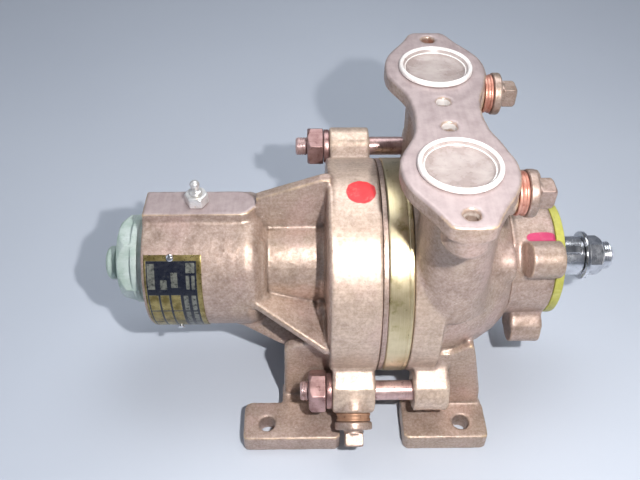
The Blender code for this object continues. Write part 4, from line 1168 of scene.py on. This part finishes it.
# ------------------------------------------------------------------ ring and port plate
lathe("centre_ring_turned",
      [(62.0, 8.1), (76.7, 8.1), (CASE_R, 7.3), (CASE_R, 5.2), (77.25, 5.0), (77.25, 4.6),
       (CASE_R, 4.4), (CASE_R, -7.3), (76.7, -8.1), (62.0, -8.1)],
      BRASS, "centre_ring", at=(0.0, *CASE_YZ), steps=220, bevel=0.25)
lathe("port_plate_rim", ring_profile(BORE_R + ECCENTRICITY + 1.5, 77.1, -8.4, -11.6),
      BRONZE, "port_plate_inner", at=(0.0, *CASE_YZ), steps=180)


# ------------------------------------------------------------------ studs, nuts, washers
def split_washer(turn, radius, place):
    """A shallow dip in the outer edge marks the split."""
    gap = abs(((turn - 2.4 + math.pi) % math.tau) - math.pi)
    return radius - 0.55 * max(0.0, 1 - gap / 0.10) if radius > 10 else radius


# side, x of the stud's tip, turn of the nut in degrees
for side, tip, corner in (("lower", -65.8, 39), ("upper", -68.6, 34)):
    stud = STUDS[side]
    lathe(f"stud_{side}",
          [(0, 33.4), (STUD_R - 0.9, 33.4), (STUD_R, 32.4), (STUD_R, tip + 1.4),
           (STUD_R - 1.3, tip), (0, tip)],
          STUD, f"tie_stud_{side}", at=(0, *stud), steps=56, spacing=0.42,
          shape=thread(tip + 0.2, -43.0, pitch=2.0, depth=0.75, outer_r=STUD_R))
    modelled(f"nut_{side}", round_x(-59.8, -47.8, 16, stud), 0.45 * FINE,
             [("add", prism(*x_line(-59.8, -47.8, stud), 15.2, corner,
                            chamfer=((2.4, 12.6), (0.9, 14.4))), 0),
              ("cut", rod(*x_line(-70, -40, stud), STUD_R + 0.45, 0.1), 0.7)],
             NUT, f"tie_nut_{side}")
    lathe(f"washer_{side}", ring_profile(STUD_HOLE_R, 12.6, -43.5, -47.4), NUT,
          f"tie_washer_{side}", at=(0, *stud), bevel=0.55, shape=split_washer)


# ------------------------------------------------------------------ plugs
def plug(name, start, direction, thread_r, length, collar, bounds, node, washer, seal_mat=COPPER):
    """Square-headed plug with a collar, and its sealing washer."""
    along = basis(direction)[0]

    def piece(first, last):
        return [tuple(np.array(start, float) + along * place) for place in (first, last)]

    modelled(name, bounds, 0.5 * FINE,
             [("add", rod(*piece(6.1, 11.6), collar, 1.1), 0),
              ("add", rod(*piece(10.5, 14.5), 6.8, 0.3), 1.2),
              ("add", rod(*piece(-length, 7.0), thread_r, 0.6), 0.3),
              ("add", prism(*piece(13.4, 23.0), 8.9, 45, sides=4, edge=1.0,
                            chamfer=((0.0, 8.9), (1.6, 7.2))), 0.8)],
             BRONZE, node)
    inner, outer, waist = thread_r + 0.35, collar - 1.1, collar - 1.6
    lathe(f"{name}_seal",
          [(inner, 5.8), (outer, 5.8), (outer, 4.3), (waist, 3.9), (waist, 2.2), (outer, 1.8),
           (outer, 0.3), (inner, 0.3)],
          seal_mat, washer, at=start, direction=direction, steps=72, bevel=0.5)


for side, way in (("near", -1), ("far", 1)):
    centre = (way * PORT_Y, PORT_PLUG_Z)
    plug(f"plug_{side}", (59.0, *centre), (1, 0, 0), thread_r=9.0, length=10.0, collar=14.0,
         bounds=round_x(49.0, 82.0, 15, centre), node=f"port_plug_{side}",
         washer=f"port_plug_washer_{side}")
drain_ends = np.array([drain_point(100.0), drain_point(129.5)])
plug("plug_drain", drain_point(106.5), (0, DRAIN_Y, DRAIN_Z), thread_r=5.5, length=6.5,
     collar=13.0, bounds=(drain_ends.min(0) - 14.5, drain_ends.max(0) + 14.5),
     node="drain_plug", washer="drain_plug_washer", seal_mat=DULL)

# ------------------------------------------------------------------ bearing cap and button
KNOB_OFFSET = -2.2      # the button sits off the shaft by this much in Y and in Z
KNOB_YZ = (KNOB_OFFSET, AXIS_Z + KNOB_OFFSET)
modelled("cap_hex", round_x(-191.9, -164.0, 33), 0.7 * FINE,
         [("add", prism(*x_line(-191.9, -176.3), 32.2, 1, edge=1.6,
                        chamfer=((6.6, 27.2), (0.0, 0))), 0),
          ("add", rod(*x_line(-181.4, -176.3), 31.9, 0.8), 0.6),
          ("add", rod(*x_line(-178.0, -164.0), 31.0, 0.5), 0.0),
          ("cut", rod(*x_line(-187.0, -160.0), 20.5, 0.8), 0.6),
          ("cut", rod(*x_line(-195.0, -180.0, KNOB_YZ), 4.35, 0.1), 0.3)],
         GREEN, "bearing_cap", rounds=3)
lathe("cap_knob",
      [(0, -188.5), (4.0, -188.5), (4.0, -192.2), (8.4, -192.2), (8.4, -196.6), (12.2, -197.2),
       (12.2, -201.6), (10.4, -203.6), (6.0, -203.6), (5.4, -203.1), (0, -203.1)],
      GREEN, "cap_button", at=(0, *KNOB_YZ), steps=84, bevel=0.7)

# ------------------------------------------------------------------ shaft, key, washer, nut
KEY_ANGLE = 62.0
# (radius, x) from the drive end
SHAFT_PROFILE = [
    (0, 160.7), (7.2, 160.7), (7.8, 160.2), (8.6, 160.2), (10.0, 158.8), (10.0, 138.3),
    (13.4, 138.3), (14.2, 137.5), (14.2, 14.0), (13.2, 13.9), (13.2, -12.5), (12.5, -12.6),
    (12.5, -161.0), (10.0, -161.1), (10.0, -171.2), (9.2, -172.0), (0, -172.0)]


def shaft_shape(turn, radius, place):
    """Flat-bottomed keyway and thread at the drive end."""
    keyway_half, keyway_floor = 3.3, 9.7
    off = ((turn - math.radians(KEY_ANGLE) + math.pi) % math.tau) - math.pi
    if 113.7 < place < 135.3 and abs(off) < keyway_half / radius and radius > keyway_floor:
        return keyway_floor / math.cos(off)
    if 139.3 < place < 158.4 and radius > 9.5:
        phase = (place / 1.5 - turn / math.tau) % 1.0
        return radius - 0.5 * abs(2 * phase - 1)
    return radius


lathe("shaft_turned", SHAFT_PROFILE, STEEL, "shaft", steps=240, bevel=0.2,
      spacing=0.5, shape=shaft_shape, body="rotor")
modelled("key_drive", ((113.5, -18, AXIS_Z), (135.5, 0, AXIS_Z + 18)), 0.35,
         [("add", box((114.0, 135.0), (-15.6, -10.05), (AXIS_Z - 3.0, AXIS_Z + 3.0), 0.4,
                      KEY_ANGLE), 0)],
         STEEL, "drive_key", rounds=1, body="rotor")
lathe("washer_drive", ring_profile(10.4, 17.5, 141.4, 138.6), STEEL, "drive_washer",
      bevel=0.5, body="rotor")
modelled("nut_drive", round_x(141.8, 153.0, 15.5), 0.42 * FINE,
         [("add", prism(*x_line(141.8, 153.0), 14.6, 16, chamfer=((0.8, 13.9), (2.2, 12.2))), 0),
          ("cut", rod(*x_line(138, 158), 10.45, 0.1), 0.5)],
         STEEL, "drive_nut", body="rotor")

# ------------------------------------------------------------------ cover screws, register ring
for i, screw in enumerate(SCREWS):
    modelled(f"screw_cover_{i + 1}", round_x(65.0, 107.4, 5, screw), 0.42,
             [("add", rod(*x_line(65.0, 103.0, screw), 2.5, 0.4), 0),
              ("add", rod(*x_line(102.3, 107.4, screw), 4.5, 0.6), 0.3),
              ("cut", prism(*x_line(104.2, 110.0, screw), 2.7, 20 * i, edge=0.0), 0.2)],
             STEEL, f"cover_screw_{i + 1}", rounds=1)
lathe("register_yellow", ring_profile(34.8, 41.0, 114.4, 108.6), YELLOW, "register_ring",
      steps=140, bevel=0.8)


# ------------------------------------------------------------------ grease fitting
def fitting_line(start, end):
    """Upright line at the fitting, between two heights above the land."""
    return z_line(FITTING_X, 0, LAND_Z + start, LAND_Z + end)


# (radius, height above the land)
NIPPLE = [
    (0, 18.6), (1.3, 18.5), (2.6, 17.6), (3.3, 16.4), (3.2, 14.9), (2.2, 12.8), (2.4, 11.2),
    (4.4, 10.4), (4.4, 8.4), (2.1, 8.4), (2.1, 3.0), (0, 3.0)]
modelled("fitting_hex", ((-143, -9, LAND_Z - 12.0), (-125, 9, LAND_Z + 8.0)), 0.4,
         [("add", prism(*fitting_line(0.4, 8.0), 8.0, 0, edge=0.5,
                        chamfer=((0.6, 7.6), (1.2, 6.8))), 0),
          ("add", rod(*fitting_line(-12, 2), 3.7, 0.3), 0.2),
          ("cut", rod(*fitting_line(2, 20), 2.4, 0.1), 0.3)],
         FITTING, "grease_adapter", rounds=1)
lathe("fitting_nipple", [(radius, LAND_Z + height) for radius, height in NIPPLE],
      FITTING, "grease_nipple", at=(FITTING_X, 0, 0), direction=(0, 0, 1), steps=64,
      bevel=0.5)

# ------------------------------------------------------------------ nameplate
LABEL_X, LABEL_LONG = -168.0, 38.0      # the sheet's -X edge and its length along the shaft
LABEL_WRAP, LABEL_LEAD = 72.6, 2.7      # its length round the hub, and the part above v = 0
LABEL_TOP, LABEL_TURN = 47.6, 86.9      # angle of its upper edge, and the angle it wraps
# raised panels in the heading, as (u start, u end, v start, v end)
HEAD_PANELS = (
    (2.3, 7.0, 3.0, 21.0), (27.6, 33.4, 2.6, 9.4), (17.6, 21.8, 9.0, 19.6),
    (10.6, 15.0, 14.0, 21.2), (27.6, 30.0, 11.2, 21.0), (31.0, 33.4, 11.2, 21.0))


def label_relief(along, down):
    """(height, tone) of the blank plate: `along` the shaft, and `down` round the hub."""
    if along < 1.5 or along > 34.6 or down < 1.2 or down > 68.6:
        edge = min(along, LABEL_LONG - along, down + LABEL_LEAD, LABEL_WRAP - LABEL_LEAD - down)
        return (0.18 if edge > 0.5 else 0.10), 1.0
    if down < 23.0:
        for left, right, upper, lower in HEAD_PANELS:
            if left < along < right and upper < down < lower:
                return 0.06, 0.45
        return 0.0, 0.0
    if down < 24.2:
        return 0.0, 0.0
    row = (down - 24.2) % 15.0
    for left, right in ((2.2, 8.4), (9.6, 15.8), (17.0, 23.2)):
        if left < along < right and row > 0.9:
            return 0.12, 0.8
    for left, right in ((25.2, 28.4), (30.2, 33.6)):
        if left < along < right and row > 1.4:
            return 0.06, 0.4
    return 0.0, 0.0


def enamel_material():
    """Black ground, grey low panels and brass high panels, chosen by the tone."""
    tree = Tree("nameplate_enamel")
    tone = tree.attr("tone")
    worn = tree.noise(scale=420, detail=5, rough=0.65)
    brass = tree.mix(tree.span(tree.noise(scale=160, detail=4), over=(0.3, 0.7)),
                     (118, 104, 60), (168, 152, 102))
    grey = tree.mix(tree.span(worn, over=(0.3, 0.7)), (70, 72, 70), (118, 120, 112))
    black = tree.mix(tree.span(worn, over=(0.55, 0.72)), (20, 24, 38), (58, 60, 62))
    base = tree.mix(tree.span(tone, over=(0.15, 0.35)), black, grey)
    base = tree.mix(tree.span(tone, over=(0.55, 0.72)), base, brass)
    return tree.done(base, rough=tree.span(worn, over=(0.3, 0.7), to=(0.24, 0.42)),
                     metal=tree.span(tone, over=(0.5, 0.7), to=(0.1, 0.85)),
                     normal=tree.bump(worn, strength=0.12, distance=0.0002))


def nameplate():
    """Thin sheet wrapped on the front of the hub, with its relief on the outer side."""
    cols, rows = 96, 170
    verts, tones = [], []
    for outer in (True, False):
        for j in range(rows + 1):
            for i in range(cols + 1):
                along = LABEL_LONG * i / cols
                height, tone = -0.41, 1.0
                if outer:
                    height, tone = label_relief(along, LABEL_WRAP * j / rows - LABEL_LEAD)
                y, z = polar(HUB_R + 0.55 + height, LABEL_TOP - LABEL_TURN * j / rows)
                verts.append((LABEL_X + along, y, z))
                tones.append(tone)
    wide = cols + 1
    under = wide * (rows + 1)
    faces = []
    for j in range(rows):
        for i in range(cols):
            a = j * wide + i
            faces.append([a, a + wide, a + wide + 1, a + 1])
            b = a + under
            faces.append([b, b + 1, b + wide + 1, b + wide])
    for i in range(cols):
        faces.append([i, i + 1, under + i + 1, under + i])
        a = rows * wide + i
        faces.append([a, under + a, under + a + 1, a + 1])
    for j in range(rows):
        a = j * wide
        faces.append([a, under + a, under + a + wide, a + wide])
        b = a + cols
        faces.append([b, b + wide, under + b + wide, under + b])
    ob = make("nameplate_sheet", verts, faces, enamel_material(), "nameplate")
    attribute(ob, "tone", tones)


nameplate()
for i, angle in enumerate(PIN_ANGLES):
    lathe(f"pin_nameplate_{i + 1}",
          [(0, 50.9), (1.1, 50.8), (2.1, 50.3), (2.7, 49.5), (2.7, 49.1), (1.4, 49.1),
           (1.4, 43.4), (0, 43.4)],
          STEEL, f"nameplate_screw_{i + 1}", at=(PIN_X, *SHAFT_YZ),
          direction=(0.0, *polar(1.0, angle, 0.0)), steps=40, bevel=0.2)

# ------------------------------------------------------------------ port caps
# (radius, height above the flange)
PORT_CAP = [
    (0, -2.6), (8.0, -2.5), (15.0, -2.1), (18.6, -1.3), (20.4, 0.6), (21.3, 2.2), (22.0, 3.3),
    (22.9, 3.6), (23.7, 3.1), (24.2, 2.0), (24.2, 0.35), (19.6, 0.35), (18.9, -10.0),
    (17.4, -10.0), (17.2, -4.4), (0, -4.4)]


def cap_slot(point):
    """The disc inside the rim is slot 1, and the underside of the rim stays white."""
    radius, z = point
    rim_under = radius > 18.4 and TOP_Z + 0.2 < z < TOP_Z + 0.5
    return 1 if radius < 21.4 and z > TOP_Z - 4.9 and not rim_under else 0


for side, way in (("near", -1), ("far", 1)):
    lathe(f"cap_port_{side}", [(radius, TOP_Z + height) for radius, height in PORT_CAP],
          [WHITE, DISC], f"port_cap_{side}", at=(PORT_X, way * PORT_Y, 0),
          direction=(0, 0, 1), steps=120, bevel=0.45, mat_of=cap_slot, body=f"cap_{side}")

# ------------------------------------------------------------------ pieces that keep their CAD mesh
FINISH = {
    "impeller": BRASS, "impeller_key": STEEL, "bearing_locknut": STEEL,
    "bearing_inner_outboard": BRIGHT, "bearing_inner_inboard": BRIGHT,
    "bearing_outer_outboard": BRIGHT, "bearing_outer_inboard": BRIGHT,
    "bearing_balls_outboard": BRIGHT, "bearing_balls_inboard": BRIGHT,
    "bearing_spacer": STEEL, "bearing_circlip": STEEL, "seal_head": STEEL, "seal_spring": STEEL,
    "seal_seat": CARBON, "grease_seal": RUBBER, "water_seal": RUBBER, "drive_seal": RUBBER,
}
for name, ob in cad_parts.items():
    if not ob.hide_render:
        ob.data.materials.clear()
        ob.data.materials.append(FINISH.get(name, BRONZE))
        ob.data.shade_smooth()
        ob.data.set_sharp_from_angle(angle=math.radians(32))


# ------------------------------------------------------------------ floor, light, camera (metres)
def add_floor():
    bpy.ops.mesh.primitive_grid_add(x_subdivisions=8, y_subdivisions=8, size=6.0,
                                    location=(0, 0, 0))
    floor = bpy.context.object
    floor.name = "studio_floor"
    tree = Tree("floor_pale")
    shade = tree.noise(scale=3.0, detail=3, rough=0.5)
    floor.data.materials.append(
        tree.done(tree.mix(shade, (190, 197, 210), (202, 209, 220)), rough=0.62))


def add_world():
    """Pale blue to grey gradient as the dim light all round."""
    world = bpy.data.worlds.new("studio")
    bpy.context.scene.world = world
    world.use_nodes = True
    nodes, link = world.node_tree.nodes, world.node_tree.links.new
    background = nodes["Background"]
    gradient = nodes.new("ShaderNodeTexGradient")
    coord = nodes.new("ShaderNodeTexCoord")
    mapping = nodes.new("ShaderNodeMapping")
    mapping.inputs["Rotation"].default_value = (0, math.radians(90), 0)
    ramp = nodes.new("ShaderNodeValToRGB")
    ramp.color_ramp.elements[0].color = (0.80, 0.86, 1.0, 1)
    ramp.color_ramp.elements[1].color = (0.42, 0.44, 0.48, 1)
    link(coord.outputs["Generated"], mapping.inputs["Vector"])
    link(mapping.outputs[0], gradient.inputs[0])
    link(gradient.outputs[0], ramp.inputs[0])
    link(ramp.outputs[0], background.inputs["Color"])
    background.inputs["Strength"].default_value = 0.27


def lamp(name, at, size, power, colour, aim=(0, 0, 0.1)):
    light = bpy.data.lights.new(name, "AREA")
    light.shape = "DISK"
    light.size = size
    light.energy = power
    light.color = colour
    ob = bpy.data.objects.new(name, light)
    ob.location = at
    ob.rotation_euler = (Vector(aim) - Vector(at)).to_track_quat("-Z", "Y").to_euler()
    bpy.context.scene.collection.objects.link(ob)


add_floor()
add_world()
EYE = Vector((-0.03644, -0.35482, 0.46432))
TURN = (Matrix.Rotation(math.radians(-1.1), 3, "Z") @ Matrix.Rotation(math.radians(46.0), 3, "X")
        @ Matrix.Rotation(math.radians(0.4), 3, "Z"))
# a small bright lamp up and to the right of the lens, with wide soft lamps round it
lamp("key", at=EYE + TURN @ Vector((0.104, 0.040, 0.0)), size=0.016, power=3.1,
     colour=(1.0, 0.975, 0.955), aim=(0.02, 0.0, 0.11))
lamp("overhead", at=(0.1, 0.42, 1.1), size=0.8, power=6.0, colour=(0.94, 0.97, 1.0))
lamp("fill_left", at=(-1.1, -0.1, 0.8), size=1.1, power=2.2, colour=(0.86, 0.92, 1.0))
lamp("fill_right", at=(1.1, -0.5, 0.7), size=1.0, power=1.6, colour=(1.0, 0.96, 0.92))

lens = bpy.data.cameras.new("camera")
lens.sensor_width = 36.0
lens.lens = 39.375
lens.clip_start, lens.clip_end = 0.01, 20.0
camera = bpy.data.objects.new("camera", lens)
bpy.context.scene.collection.objects.link(camera)
camera.matrix_world = Matrix.Translation(EYE) @ TURN.to_4x4()
bpy.context.scene.camera = camera
bpy.context.scene.view_settings.view_transform = "Standard"
bpy.context.scene.view_settings.exposure = 0.0
